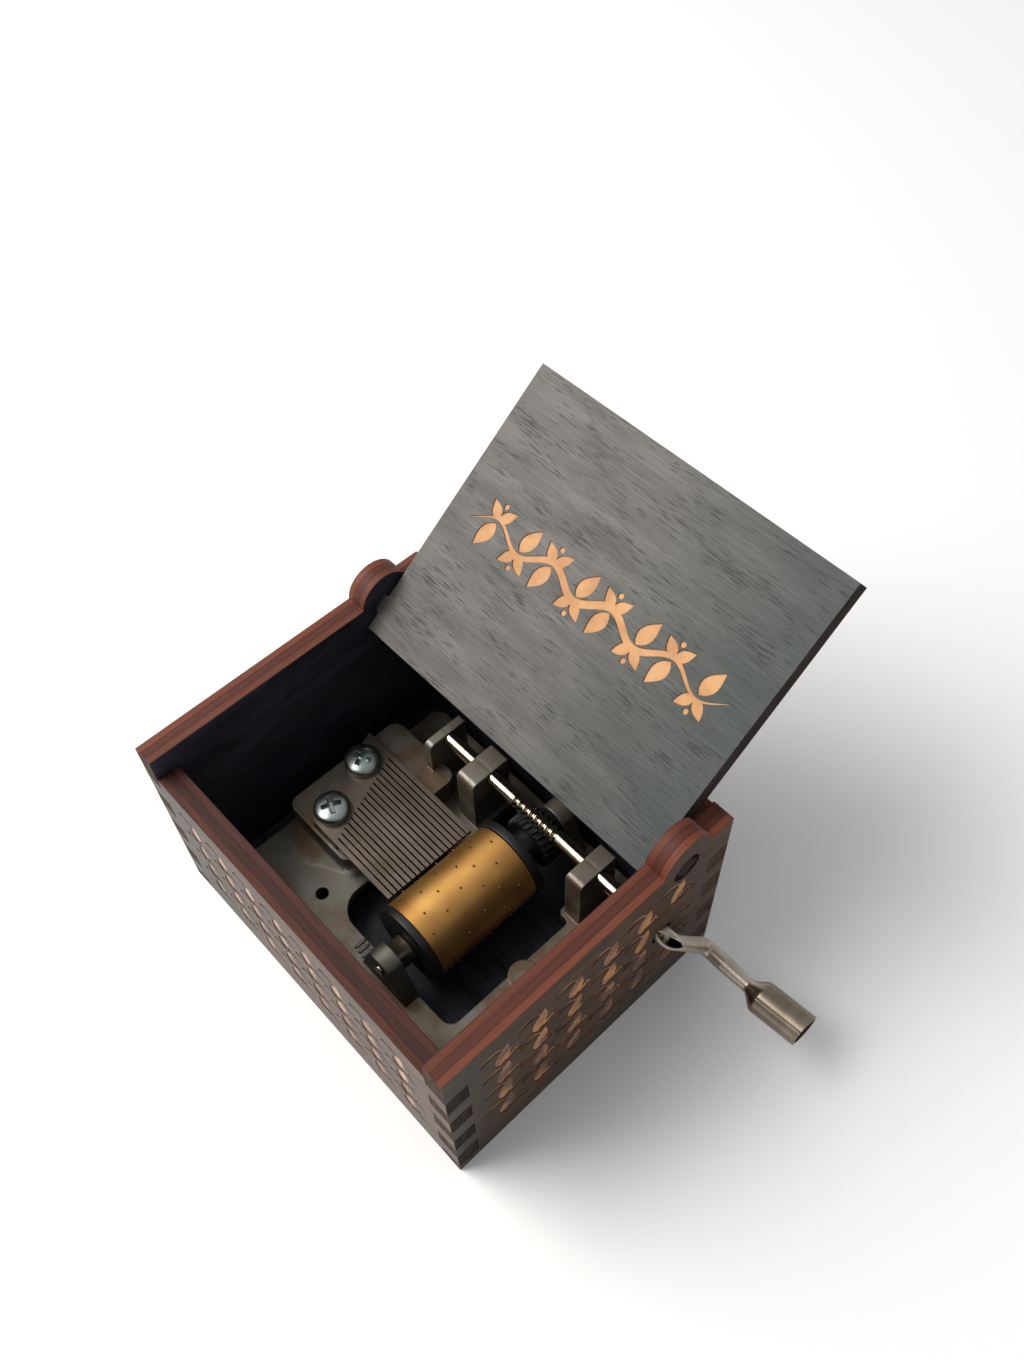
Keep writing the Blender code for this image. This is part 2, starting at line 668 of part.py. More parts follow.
def comb_outline():
    """Comb seen from above: a slanted root and teeth of stepped length."""
    points = [(slanted(-COMB_ROOT_MARGIN, COMB_BACK), COMB_BACK),
              (slanted(-COMB_ROOT_MARGIN, COMB_FRONT), COMB_FRONT)]
    pitch = COMB_WIDTH / COMB_TEETH
    for number in range(COMB_TEETH):
        low = COMB_FRONT + number * pitch
        high = low + pitch
        side_low = low + (SLIT_WIDTH / 2 if number else 0)
        side_high = high - (SLIT_WIDTH / 2 if number < COMB_TEETH - 1 else 0)
        points += [(TIP_X, side_low), (TIP_X, side_high)]
        if number < COMB_TEETH - 1:
            bottom = slanted(SLIT_MARGIN, high)
            points += [(bottom, side_high), (bottom, high + SLIT_WIDTH / 2)]
    return points


def comb():
    """Comb ground thin below its teeth, with weights left under the long ones."""
    holes = [circle(place, SCREW_SHANK_RADIUS + SCREW_HOLE_CLEARANCE) for place in comb_screw_places()]
    plate = flat_piece("comb", [comb_outline()] + holes, COMB_THICKNESS)
    plate.data.transform(Matrix.Translation((0, 0, COMB_UNDER + COMB_THICKNESS / 2)))
    plate.location = (0, 0, 0)
    far = COMB_BACK + CUT_OVERRUN
    near = COMB_FRONT - CUT_OVERRUN
    split = COMB_BACK - WEIGHTED_SHARE * COMB_WIDTH
    weight_end = TIP_X - TIP_LENGTH - WEIGHT_LENGTH
    clear = TIP_X + CUT_OVERRUN
    root = SLIT_MARGIN - SLIT_WIDTH
    tip_start = TIP_X - TIP_LENGTH
    thin = [(slanted(root, far), far), (slanted(root, near), near), (clear, near), (clear, far),
            (tip_start, far), (tip_start, split), (weight_end, split), (weight_end, far)]
    cut(plate, comb_grinding("comb_grinding", thin, TOOTH_THICKNESS))
    left = weight_end - CUT_OVERRUN
    under = [(left, split - SLIT_WIDTH), (clear, split - SLIT_WIDTH), (clear, far), (left, far)]
    cut(plate, comb_grinding("weight_grinding", under, TOOTH_THICKNESS + WEIGHT_THICKNESS))
    return plate


def comb_grinding(name, outline, left):
    """Tool that leaves the given thickness of the comb above it."""
    height = COMB_THICKNESS - left + CUT_OVERRUN
    return flat_piece(name, [outline], height, FACING_Z, (0, 0, COMB_TOP - left - height / 2))


def pan_screw(name, place, seat, length, up):
    """Pan head screw with a cross recess; up is 1 for a head on top and -1 for one below."""
    crown = SCREW_HEAD_RADIUS / 2
    edge = SCREW_HEAD_HEIGHT / 2
    tip = SCREW_SHANK_RADIUS / 2
    profile = [(0, SCREW_HEAD_HEIGHT), (crown, SCREW_HEAD_HEIGHT - edge / ARC_STEPS),
               (SCREW_HEAD_RADIUS - edge / 2, SCREW_HEAD_HEIGHT - edge / 2),
               (SCREW_HEAD_RADIUS, edge), (SCREW_HEAD_RADIUS, 0), (SCREW_SHANK_RADIUS, 0),
               (SCREW_SHANK_RADIUS, tip - length), (tip, -length), (0, -length)]
    turn = ALONG_Z if up > 0 else (math.pi, 0, 0)
    made = turned(name, profile, turn, (*place, seat), SMALL_SIDES)
    floor = SCREW_HEAD_HEIGHT - CROSS_DEPTH
    top = SCREW_HEAD_HEIGHT + CUT_OVERRUN
    half = CROSS_WIDTH / 2
    cut(made, box(name + "_slot_a", (-CROSS_REACH, -half, floor), (CROSS_REACH, half, top)))
    cut(made, box(name + "_slot_b", (-half, -CROSS_REACH, floor), (half, CROSS_REACH, top)))
    return made


def pins(work):
    """Pins of the tune: each row of teeth is struck in turn by a fixed rule."""
    pitch = COMB_WIDTH / COMB_TEETH
    depth = PIN_HEIGHT + BARREL_WALL / 2
    radius = PIN_CIRCLE - depth / 2
    for number in range(PIN_COUNT):
        tooth = int(number * PIN_STEP_SHARE * COMB_TEETH) % COMB_TEETH
        along = COMB_FRONT + (tooth + 1 / 2) * pitch - BARREL_FRONT - BARREL_LENGTH / 2
        turn = Matrix.Rotation(2 * math.pi * number / PIN_COUNT, 4, "Z")
        place = turn @ Matrix.Translation((radius, 0, along)) @ Matrix.Rotation(math.pi / 2, 4, "Y")
        bmesh.ops.create_cone(work, cap_ends=True, segments=PIN_SIDES, radius1=PIN_RADIUS,
                              radius2=PIN_RADIUS, depth=depth, matrix=place)


def barrel(axis):
    """Brass tube with its pins."""
    half = BARREL_LENGTH / 2
    inner = BARREL_RADIUS - BARREL_WALL
    profile = [(BARREL_RADIUS, half), (BARREL_RADIUS, -half), (inner, -half), (inner, half)]
    tube = turned("barrel", profile, ALONG_Y, (0, 0, 0), closed=True)
    join(tube, mesh_object("pins", pins))
    tube.parent = axis
    return tube


def barrel_cap(axis):
    """Front cap: a disc with a spigot inside the tube and a bore for the arbor."""
    half = BARREL_LENGTH / 2
    inner = BARREL_RADIUS - BARREL_WALL - JOINT_GAP
    bore = ARBOR_RADIUS + SEAT_GAP
    disc = BARREL_RADIUS + CAP_OVERHANG
    profile = [(inner, SPIGOT_LENGTH), (inner, -JOINT_GAP), (disc, -JOINT_GAP),
               (disc, -CAP_THICKNESS), (bore, -CAP_THICKNESS), (bore, SPIGOT_LENGTH)]
    made = turned("barrel_cap", profile, ALONG_Y, (0, -half, 0), closed=True)
    made.parent = axis
    return made


def gear_ring(work):
    """Helical gear teeth about Z, slanted like the worm's thread."""
    tip = GEAR_PITCH_RADIUS + WORM_TOOTH - MESH_GAP
    root = GEAR_PITCH_RADIUS - WORM_TOOTH - MESH_GAP
    lead = WORM_PITCH / (2 * math.pi * WORM_RADIUS)
    section = []
    for tooth in range(GEAR_TEETH):
        for share, radius in ((-TOOTH_ROOT_SHARE, root), (-TOOTH_TIP_SHARE, tip),
                              (TOOTH_TIP_SHARE, tip), (TOOTH_ROOT_SHARE, root)):
            section.append((2 * math.pi * (tooth + share) / GEAR_TEETH, radius))
    rows = []
    for step in range(HELIX_ROWS + 1):
        along = GEAR_WIDTH * (step / HELIX_ROWS - 1 / 2)
        twist = lead * along / GEAR_PITCH_RADIUS
        row = [work.verts.new((radius * math.sin(angle + twist), -radius * math.cos(angle + twist), along))
               for angle, radius in section]
        rows.append(row)
    skin_rows(work, rows)
    work.faces.new(rows[0])
    work.faces.new(reversed(rows[-1]))


def skin_rows(work, rows):
    """Quads between closed rings of points."""
    for lower, upper in zip(rows, rows[1:]):
        count = len(lower)
        for index in range(count):
            following = (index + 1) % count
            work.faces.new((lower[index], upper[index], upper[following], lower[following]))


def drive_gear(axis):
    """Black moulding at the back of the barrel: spigot, flange, hub, gear and collar."""
    start = BARREL_LENGTH / 2
    inner = BARREL_RADIUS - BARREL_WALL - JOINT_GAP
    flange = BARREL_RADIUS + FLANGE_OVERHANG
    flange_back = JOINT_GAP + FLANGE_THICKNESS
    back = JOINT_GAP + DRIVE_LENGTH
    bore = ARBOR_RADIUS + SEAT_GAP
    profile = [(0, back), (GEAR_HUB_RADIUS, back), (GEAR_HUB_RADIUS, flange_back),
               (flange, flange_back), (flange, JOINT_GAP), (inner, JOINT_GAP),
               (inner, -SPIGOT_LENGTH), (0, -SPIGOT_LENGTH)]
    made = turned("drive_gear", profile, ALONG_Y, (0, start, 0))
    ring = mesh_object("gear_ring", gear_ring)
    ring.location = (0, 0, SHAFT_Y - BARREL_BACK)
    join(made, ring)
    reach = 2 * (DRIVE_LENGTH + SPIGOT_LENGTH)
    cut(made, rod("drive_bore", bore, reach, ALONG_Z, (0, 0, 0), ROUND_SIDES))
    made.parent = axis
    return made


def arbor(axis):
    """Steel pin through both bearings, the cap and the drive gear."""
    front = LUG_FRONT - ARBOR_END
    back = REAR_LUG_BACK + ARBOR_END
    middle = BARREL_FRONT + BARREL_LENGTH / 2
    made = rod("arbor", ARBOR_RADIUS, back - front, ALONG_Y, (0, (front + back) / 2 - middle, 0))
    made.parent = axis
    return made


def shaft_rows():
    """Places along the crank shaft with the radius there; no radius means the worm's thread."""
    start = LEFT_UPRIGHT + SHAFT_END_INSET - AXIS_X
    step = OUTER_RIGHT - SLEEVE_DEPTH - SHAFT_STEP - AXIS_X
    end = OUTER_RIGHT + CRANK_WALL_GAP + SHAFT_STUB - AXIS_X
    half = WORM_LENGTH / 2
    count = round(WORM_LENGTH / WORM_PITCH * WORM_ROWS_PER_TURN)
    rows = [(start, SHAFT_RADIUS), (-half - WORM_TOOTH, SHAFT_RADIUS)]
    rows += [(-half + WORM_LENGTH * number / count, None) for number in range(count + 1)]
    return rows + [(half + WORM_TOOTH, SHAFT_RADIUS), (step - SHAFT_STEP, SHAFT_RADIUS),
                   (step, SHAFT_END_RADIUS), (end, SHAFT_END_RADIUS)]


def thread_radius(x, angle):
    """Radius of the rolled worm thread, a right-hand wave that leaves room for a gear tooth."""
    below = -math.pi / 2 - math.radians(CRANK_REST_DEGREES)
    phase = 2 * math.pi * x / WORM_PITCH - (angle - below)
    return WORM_RADIUS - WORM_TOOTH * math.cos(phase)


def crank_shaft(axis):
    """Steel shaft with the worm rolled into it, drawn along its own axis."""
    def build(work):
        rings = []
        for x, plain in shaft_rows():
            ring = []
            for side in range(WORM_SIDES):
                angle = 2 * math.pi * side / WORM_SIDES
                radius = plain if plain else thread_radius(x, angle)
                ring.append(work.verts.new((x, radius * math.cos(angle), radius * math.sin(angle))))
            rings.append(ring)
        skin_rows(work, rings)
        work.faces.new(rings[0])
        work.faces.new(reversed(rings[-1]))
    made = mesh_object("crank_shaft", build)
    made.parent = axis
    return made


def shaft_collar(axis):
    """Collar on the shaft just inside the right wall."""
    bore = SHAFT_RADIUS + SEAT_GAP
    half = COLLAR_LENGTH / 2
    profile = [(COLLAR_RADIUS, half), (COLLAR_RADIUS, -half), (bore, -half), (bore, half)]
    place = INNER_RIGHT - COLLAR_WALL_GAP - half - AXIS_X
    made = turned("shaft_collar", profile, ALONG_X, (place, 0, 0), SMALL_SIDES, closed=True)
    made.parent = axis
    return made


def bend_rows(start, radius, headings):
    """Places and headings round one bend of the centre line, whichever way it turns."""
    first, last = headings
    way = 1 if last > first else -1
    rows = []
    for step in range(CRANK_BEND_ROWS):
        heading = first + (last - first) * step / (CRANK_BEND_ROWS - 1)
        x = start[0] + way * radius * (math.sin(heading) - math.sin(first))
        out = start[1] - way * radius * (math.cos(heading) - math.cos(first))
        rows.append((x, out, heading))
    return rows


def seam_at(along):
    """Seam angle at a distance past the end of the sleeve: it opens into an eye at the bend."""
    length = EYE_LEAD + FIRST_BEND_RADIUS * math.radians(FIRST_BEND_DEGREES) + EYE_RUN
    share = min(max((along + EYE_LEAD) / length, 0), 1)
    return SEAM_DEGREES + EYE_DEGREES * math.sin(math.pi * share)


def crank_stations():
    """Centre line of the crank: place, heading, section radius, seam angle and lift of each row."""
    sleeve = SHAFT_END_RADIUS + SEAT_GAP + CRANK_SHEET
    bend = math.radians(FIRST_BEND_DEGREES)
    start = OUTER_RIGHT - AXIS_X + CRANK_WALL_GAP
    stations = [(start - CRANK_WALL_GAP - SLEEVE_DEPTH, 0, 0, sleeve, SEAM_DEGREES, 0)]
    stations += [(start - EYE_LEAD * share, 0, 0, sleeve, seam_at(-EYE_LEAD * share), 0)
                 for share in (1, 1 / 2)]
    for x, out, heading in bend_rows((start, 0), FIRST_BEND_RADIUS, (0, bend)):
        radius = sleeve + (ARM_RADIUS - sleeve) * heading / bend
        stations.append((x, out, heading, radius, seam_at(FIRST_BEND_RADIUS * heading), 0))
    for share in (1 / 2, 1):
        along = EYE_RUN * share
        seam = seam_at(FIRST_BEND_RADIUS * bend + along)
        stations.append((x + along * math.cos(bend), out + along * math.sin(bend), bend,
                         ARM_RADIUS, seam, 0))
    rise = CRANK_THROW - SECOND_BEND_RADIUS * (1 - math.cos(bend)) - out
    second = bend_rows((x + rise / math.tan(bend), out + rise), SECOND_BEND_RADIUS, (bend, 0))
    stations += [(*row, ARM_RADIUS, SEAM_DEGREES, 0) for row in second]
    return stations + handle_stations(second[-1][0])


def handle_stations(start):
    """Rows of the neck, the flare and the grip, which leans a little from the neck's line."""
    waist = start + NECK_LENGTH
    shoulder = waist + FLARE_LENGTH
    rows = [(start + NECK_LENGTH / 3, CRANK_THROW, 0, NECK_RADIUS, SEAM_DEGREES, 0)]
    for step in range(CRANK_FLARE_ROWS + 1):
        share = step / CRANK_FLARE_ROWS
        swell = (1 - math.cos(math.pi * share)) / 2
        radius = WAIST_RADIUS + (GRIP_RADIUS - WAIST_RADIUS) * swell
        rows.append((waist + FLARE_LENGTH * share, CRANK_THROW, 0, radius, SEAM_DEGREES, 0))
    lift = GRIP_LENGTH * math.tan(math.radians(GRIP_TILT_DEGREES))
    rows.append((shoulder + GRIP_LENGTH, CRANK_THROW, 0, GRIP_RADIUS, SEAM_DEGREES, lift))
    return rows


def crank_skin(work):
    """Open strip carried along the centre line and rolled round it, seam on the bend's outside."""
    rows = []
    for x, out, heading, radius, seam, lift in crank_stations():
        sideways = Vector((-math.sin(heading), math.cos(heading), 0))
        start = math.radians(seam) / 2 - math.pi
        row = []
        for column in range(CRANK_COLUMNS + 1):
            angle = start - 2 * start * column / CRANK_COLUMNS
            point = Vector((x, out, lift)) + radius * math.cos(angle) * sideways
            point.z += radius * math.sin(angle)
            row.append(work.verts.new(point))
        rows.append(row)
    for lower, upper in zip(rows, rows[1:]):
        for index in range(CRANK_COLUMNS):
            work.faces.new((lower[index], lower[index + 1], upper[index + 1], upper[index]))


def crank(axis):
    """Crank of rolled sheet: sleeve on the shaft, arm, neck and grip, with its open seam."""
    mesh = bpy.data.meshes.new("crank")
    work = bmesh.new()
    crank_skin(work)
    work.to_mesh(mesh)
    work.free()
    made = bpy.data.objects.new("crank", mesh)
    PART.objects.link(made)
    sheet = made.modifiers.new("Sheet", "SOLIDIFY")
    sheet.thickness = CRANK_SHEET
    sheet.offset = -1
    made.parent = axis
    return made


def build_box():
    """The plywood box and its lid."""
    pivot = circle((PIVOT_Y, PIVOT_Z), PIVOT_HOLE_RADIUS)
    exit_hole = circle((SHAFT_Y, SHAFT_Z), SHAFT_HOLE_RADIUS)
    finish(bottom_panel(), WOOD)
    finish(end_wall("front_wall", -INNER_BACK - PLY / 2, FRONT_HEIGHT), WOOD)
    finish(end_wall("back_wall", INNER_BACK + PLY / 2, BACK_HEIGHT), WOOD)
    finish(side_wall("left_wall", -INNER_RIGHT - PLY / 2, [pivot]), WOOD)
    finish(side_wall("right_wall", INNER_RIGHT + PLY / 2, [pivot, exit_hole]), WOOD)
    hinge = axis_empty("lid_hinge", (0, PIVOT_Y, PIVOT_Z))
    hinge.rotation_euler = (math.radians(lid_rest_degrees()) - math.pi, 0, 0)
    finish(lid(hinge), LID_WOOD, hinge)


def build_movement():
    """Bedplate, comb and the screws that hold them."""
    finish(bedplate(), CASTING)
    finish(comb(), COMB_STEEL)
    for number, place in enumerate(comb_screw_places(), 1):
        screw = pan_screw(f"comb_screw_{number}", place, COMB_TOP + SEAT_GAP, COMB_SCREW_LENGTH, 1)
        finish(screw, PLATED)
    seat = COUNTERBORE_DEPTH - SEAT_GAP
    length = BORE_TOP - SCREW_END_GAP - seat
    for number, place in enumerate(boss_places(), 1):
        finish(pan_screw(f"base_screw_{number}", place, seat, length, -1), PLATED)


def build_moving_parts():
    """The barrel on its arbor and the crank on its shaft."""
    middle = BARREL_FRONT + BARREL_LENGTH / 2
    barrel_axis = axis_empty("barrel_axis", (AXIS_X, middle, AXIS_Z))
    finish(barrel(barrel_axis), BRASS)
    finish(barrel_cap(barrel_axis), BLACK)
    finish(drive_gear(barrel_axis), BLACK)
    finish(arbor(barrel_axis), STEEL)
    crank_axis = axis_empty("crank_axis", (AXIS_X, SHAFT_Y, SHAFT_Z))
    crank_axis.rotation_euler = (math.radians(CRANK_REST_DEGREES), 0, 0)
    finish(crank_shaft(crank_axis), STEEL)
    finish(shaft_collar(crank_axis), STEEL)
    finish(crank(crank_axis), NICKEL)


clear_scene()
PART = new_collection("music_box")
CUTTERS = new_collection("cutters")
WOOD = material("stained_plywood", (0.045, 0.036, 0.03), 0.6, 0.0)
LID_WOOD = material("stained_lid_plywood", (0.17, 0.19, 0.19), 0.6, 0.0)
CASTING = material("cast_zinc", (0.12, 0.115, 0.11), 0.45, 0.9)
COMB_STEEL = material("comb_steel", (0.3, 0.27, 0.24), 0.35, 1.0)
PLATED = material("plated_screw", (0.6, 0.64, 0.62), 0.25, 1.0)
BRASS = material("brass", (0.62, 0.38, 0.12), 0.3, 1.0)
BLACK = material("black_moulding", (0.012, 0.012, 0.014), 0.4, 0.0)
STEEL = material("bright_steel", (0.7, 0.68, 0.64), 0.2, 1.0)
NICKEL = material("nickel_plated_sheet", (0.5, 0.46, 0.4), 0.25, 1.0)
build_box()
build_movement()
build_moving_parts()
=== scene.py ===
"""Hand-cranked music box: stained plywood round a comb and cylinder movement, lid open.

Lengths are metres in the CAD frame; MM turns the millimetres of a drawing into them.
"""

import json
import math

import bmesh
import bpy
import numpy as np
from mathutils import Euler, Matrix, Vector


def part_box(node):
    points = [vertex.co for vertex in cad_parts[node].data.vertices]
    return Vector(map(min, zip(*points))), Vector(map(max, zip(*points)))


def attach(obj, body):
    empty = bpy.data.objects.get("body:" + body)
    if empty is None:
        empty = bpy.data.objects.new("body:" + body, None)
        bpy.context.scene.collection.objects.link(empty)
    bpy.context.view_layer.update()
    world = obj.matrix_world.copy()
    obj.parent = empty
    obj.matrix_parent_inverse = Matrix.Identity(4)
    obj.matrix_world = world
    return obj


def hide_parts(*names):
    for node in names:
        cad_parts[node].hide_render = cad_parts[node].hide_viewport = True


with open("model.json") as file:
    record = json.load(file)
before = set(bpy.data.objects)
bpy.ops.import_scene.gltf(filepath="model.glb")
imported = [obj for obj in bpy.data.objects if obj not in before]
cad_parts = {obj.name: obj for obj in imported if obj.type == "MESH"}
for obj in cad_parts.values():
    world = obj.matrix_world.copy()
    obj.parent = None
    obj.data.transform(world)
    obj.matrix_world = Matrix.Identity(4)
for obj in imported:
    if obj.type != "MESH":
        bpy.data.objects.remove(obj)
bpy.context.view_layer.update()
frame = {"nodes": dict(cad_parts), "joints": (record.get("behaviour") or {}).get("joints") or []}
MM = 0.001


# Plywood boards
# The five boards of the box are 3.5 mm basswood ply, laser cut with finger joints and glued.
# A thin black-brown stain covers their faces, and the cut edges are scorched reddish brown.
PLY = 3.5 * MM
MERGE_DISTANCE = 0.001 * MM
FLAT_DEGREES = 0.5
EDGE_ROUNDING = 0.12 * MM
FIBRE = (9 * MM, 0.16 * MM, 1 * MM)
PORE = (2.8 * MM, 0.24 * MM, 1 * MM)
PORE_GROUP = (9 * MM, 3 * MM, 3 * MM)
DRIFT_PATCH = (14 * MM, 8 * MM, 8 * MM)
DRIFT_WANDER = 16 * MM
PLY_WANDER = (5 * MM, 5 * MM, 1 * MM)
BURN_STREAK = (6 * MM, 6 * MM, 0.2 * MM)
END_STREAK = (6 * MM, 4 * MM, 0.45 * MM)
VENEER_SHEEN = 0.22
FACING = 0.9
END_SHARE = 0.85

# A colour Mix node's sockets have numbers: 0 is the factor, 6 and 7 are the two colours.
MIXED = {"data_type": "RGBA"}
MULTIPLIED = {"data_type": "RGBA", "blend_type": "MULTIPLY"}


def linear(hex_colour):
    """Linear colour of an sRGB hex value."""
    values = [int(hex_colour[place:place + 2], 16) / 255 for place in (1, 3, 5)]
    return (*(v / 12.92 if v <= 0.04045 else ((v + 0.055) / 1.055) ** 2.4 for v in values), 1.0)


def add(tree, kind, sockets=None, settings=None, stops=None):
    """Adds a node: sockets hold values or outputs to link, stops the colours of a ramp."""
    node = tree.nodes.new("ShaderNode" + kind)
    for name, value in (settings or {}).items():
        setattr(node, name, value)
    for name, value in (sockets or {}).items():
        if isinstance(value, bpy.types.NodeSocket):
            tree.links.new(value, node.inputs[name])
        else:
            node.inputs[name].default_value = value
    for number, (position, hex_colour) in enumerate(stops or ()):
        ramp = node.color_ramp.elements
        element = ramp[number] if number < 2 else ramp.new(position)
        element.position = position
        element.color = linear(hex_colour)
    return node


def new_material(name, sockets, matrix=None):
    """Material, its nodes, its Principled shader with plain sockets set, and the place in metres.

    On a board, whose matrix is given, the place is X along the grain, Y across it and Z outwards.
    """
    made = bpy.data.materials.new(name)
    made.use_nodes = True
    tree = made.node_tree
    principled = tree.nodes["Principled BSDF"]
    for socket, value in sockets.items():
        principled.inputs[socket].default_value = value
    place = add(tree, "TexCoord").outputs["Object"]
    if matrix is not None:
        turned = {"Vector": place, "Location": matrix.translation, "Rotation": matrix.to_euler()}
        place = add(tree, "Mapping", turned, {"vector_type": "TEXTURE"}).outputs["Vector"]
    return made, tree, principled, place


def grain(tree, place, size, detail=2.0, shift=0.0):
    """Noise whose patches have the given size along X, Y and Z; shift keeps two patterns apart."""
    scale = [1 / side for side in size]
    stretched = add(tree, "Mapping",
                    {"Vector": place, "Location": (shift, shift, shift), "Scale": scale})
    noise = add(tree, "TexNoise",
                {"Vector": stretched.outputs["Vector"], "Scale": 1.0, "Detail": detail})
    return noise.outputs["Fac"]


def surface(tree, principled, colour, height, strength, depth, radius=EDGE_ROUNDING):
    """Colour, small roundness along the edges and a relief of the given depth from a height pattern."""
    if colour:
        tree.links.new(colour, principled.inputs["Base Color"])
    bevel = add(tree, "Bevel", {"Radius": radius}, {"samples": 6})
    bump = add(tree, "Bump",
               {"Height": height, "Strength": strength, "Distance": depth, "Normal": bevel.outputs[0]})
    tree.links.new(bump.outputs[0], principled.inputs["Normal"])


def stained_veneer(name, matrix, tones, pore_tone, fibre_tone, cloud, far_tone=None, far=None,
                   sheen=VENEER_SHEEN):
    """Stained basswood: cloudy colour, short dark pores along the grain and fine fibres.

    Fibres and pores are drawn coarser than real ones, so that they show. The stain drifts to
    far_tone between the two places along the board that far gives.
    """
    finish = {"Roughness": 0.44, "Specular IOR Level": sheen}
    made, tree, principled, place = new_material(name, finish, matrix)
    clouds = grain(tree, place, (cloud, cloud / 5, cloud / 5), 4.0)
    ramp = add(tree, "ValToRGB", {"Fac": clouds}, stops=zip((0.34, 0.66), tones))
    fibres = grain(tree, place, FIBRE, 3.0, 3.0)
    fine = add(tree, "ValToRGB", {"Fac": fibres}, stops=[(0.3, fibre_tone), (0.7, "#ffffff")])
    colour = add(tree, "Mix", {0: 0.8, 6: ramp.outputs[0], 7: fine.outputs[0]}, MULTIPLIED)
    if far_tone:
        along = add(tree, "SeparateXYZ", {"Vector": place}).outputs["X"]
        wander = grain(tree, place, DRIFT_PATCH, 2.0, 5.3)
        ragged = add(tree, "Math", {0: wander, 1: DRIFT_WANDER, 2: along}, {"operation": "MULTIPLY_ADD"})
        start, end = (reach + DRIFT_WANDER / 2 for reach in far)
        share = add(tree, "MapRange",
                    {"Value": ragged.outputs[0], "From Min": start, "From Max": end, "To Max": 0.7})
        drifted = add(tree, "Mix", {0: 0.8, 6: linear(far_tone), 7: fine.outputs[0]}, MULTIPLIED)
        colour = add(tree, "Mix", {0: share.outputs[0], 6: colour.outputs[2], 7: drifted.outputs[2]}, MIXED)
    pores = grain(tree, place, PORE, 2.0, 7.0)
    groups = grain(tree, place, PORE_GROUP, 2.0, 11.0)
    both = add(tree, "Math", {0: groups, 1: 0.6, 2: pores}, {"operation": "MULTIPLY_ADD"})
    holes = add(tree, "MapRange",
                {"Value": both.outputs[0], "From Min": 0.87, "From Max": 1.02, "To Max": 0.85})
    colour = add(tree, "Mix", {0: holes.outputs[0], 6: colour.outputs[2], 7: linear(pore_tone)}, MIXED)
    relief = add(tree, "Math", {0: fibres, 1: holes.outputs[0]}, {"operation": "SUBTRACT"})
    surface(tree, principled, colour.outputs[2], relief.outputs[0], 0.35, 0.05 * MM)
    return made


def cut_edge(name, matrix, burns):
    """Laser-cut ply edge: three scorched plies and two glue lines, streaked by two tints of burning."""
    finish = {"Roughness": 0.6, "Specular IOR Level": 0.3}
    made, tree, principled, place = new_material(name, finish, matrix)
    across = add(tree, "SeparateXYZ", {"Vector": place}).outputs["Z"]
    depth = add(tree, "MapRange", {"Value": across, "From Min": -PLY, "From Max": 0.0})
    wander = grain(tree, place, PLY_WANDER, 2.0)
    wavy = add(tree, "Math", {0: wander, 1: 0.07, 2: depth.outputs[0]}, {"operation": "MULTIPLY_ADD"})
    plies = add(tree, "ValToRGB", {"Fac": wavy.outputs[0]},
                stops=[(0.03, "#3a1f16"), (0.1, "#6b3826"), (0.33, "#643423"), (0.38, "#42211a"),
                       (0.43, "#54291c"), (0.66, "#582c1f"), (0.71, "#42211a"), (0.77, "#733d29")])
    streaks = grain(tree, place, BURN_STREAK, 2.0, 5.0)
    tint = add(tree, "ValToRGB", {"Fac": streaks}, stops=zip((0.3, 0.66), burns))
    colour = add(tree, "Mix", {0: 0.8, 6: plies.outputs[0], 7: tint.outputs[0]}, MULTIPLIED)
    surface(tree, principled, colour.outputs[2], streaks, 0.3, 0.04 * MM)
    return made


def stained_end(name, matrix, tones):
    """End of a finger or tab that was stained with the faces: dark, its plies barely seen."""
    finish = {"Roughness": 0.85, "Specular IOR Level": 0.1}
    made, tree, principled, place = new_material(name, finish, matrix)
    plies = grain(tree, place, END_STREAK, 2.0, 4.0)
    ramp = add(tree, "ValToRGB", {"Fac": plies}, stops=zip((0.35, 0.65), tones))
    surface(tree, principled, ramp.outputs[0], plies, 0.4, 0.05 * MM)
    return made


def put_in_scene(name, data):
    """Object of a mesh, lamp or camera, linked to the scene."""
    made = bpy.data.objects.new(name, data)
    bpy.context.scene.collection.objects.link(made)
    return made


def merged_copy(name, node):
    """Copy of a CAD node's mesh whose loose triangles are merged."""
    mesh = frame["nodes"][node].data.copy()
    mesh.materials.clear()
    work = bmesh.new()
    work.from_mesh(mesh)
    bmesh.ops.remove_doubles(work, verts=work.verts, dist=MERGE_DISTANCE)
    bmesh.ops.dissolve_limit(work, angle_limit=math.radians(FLAT_DEGREES),
                             verts=work.verts, edges=work.edges)
    work.to_mesh(mesh)
    work.free()
    return put_in_scene(name, mesh)


def seat(piece, body, node=None, look=None):
    """The piece gets its material, rides on a body, and may be shown in the place of a CAD node."""
    if look:
        piece.data.materials.append(look)
    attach(piece, body)
    if node:
        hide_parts(node)


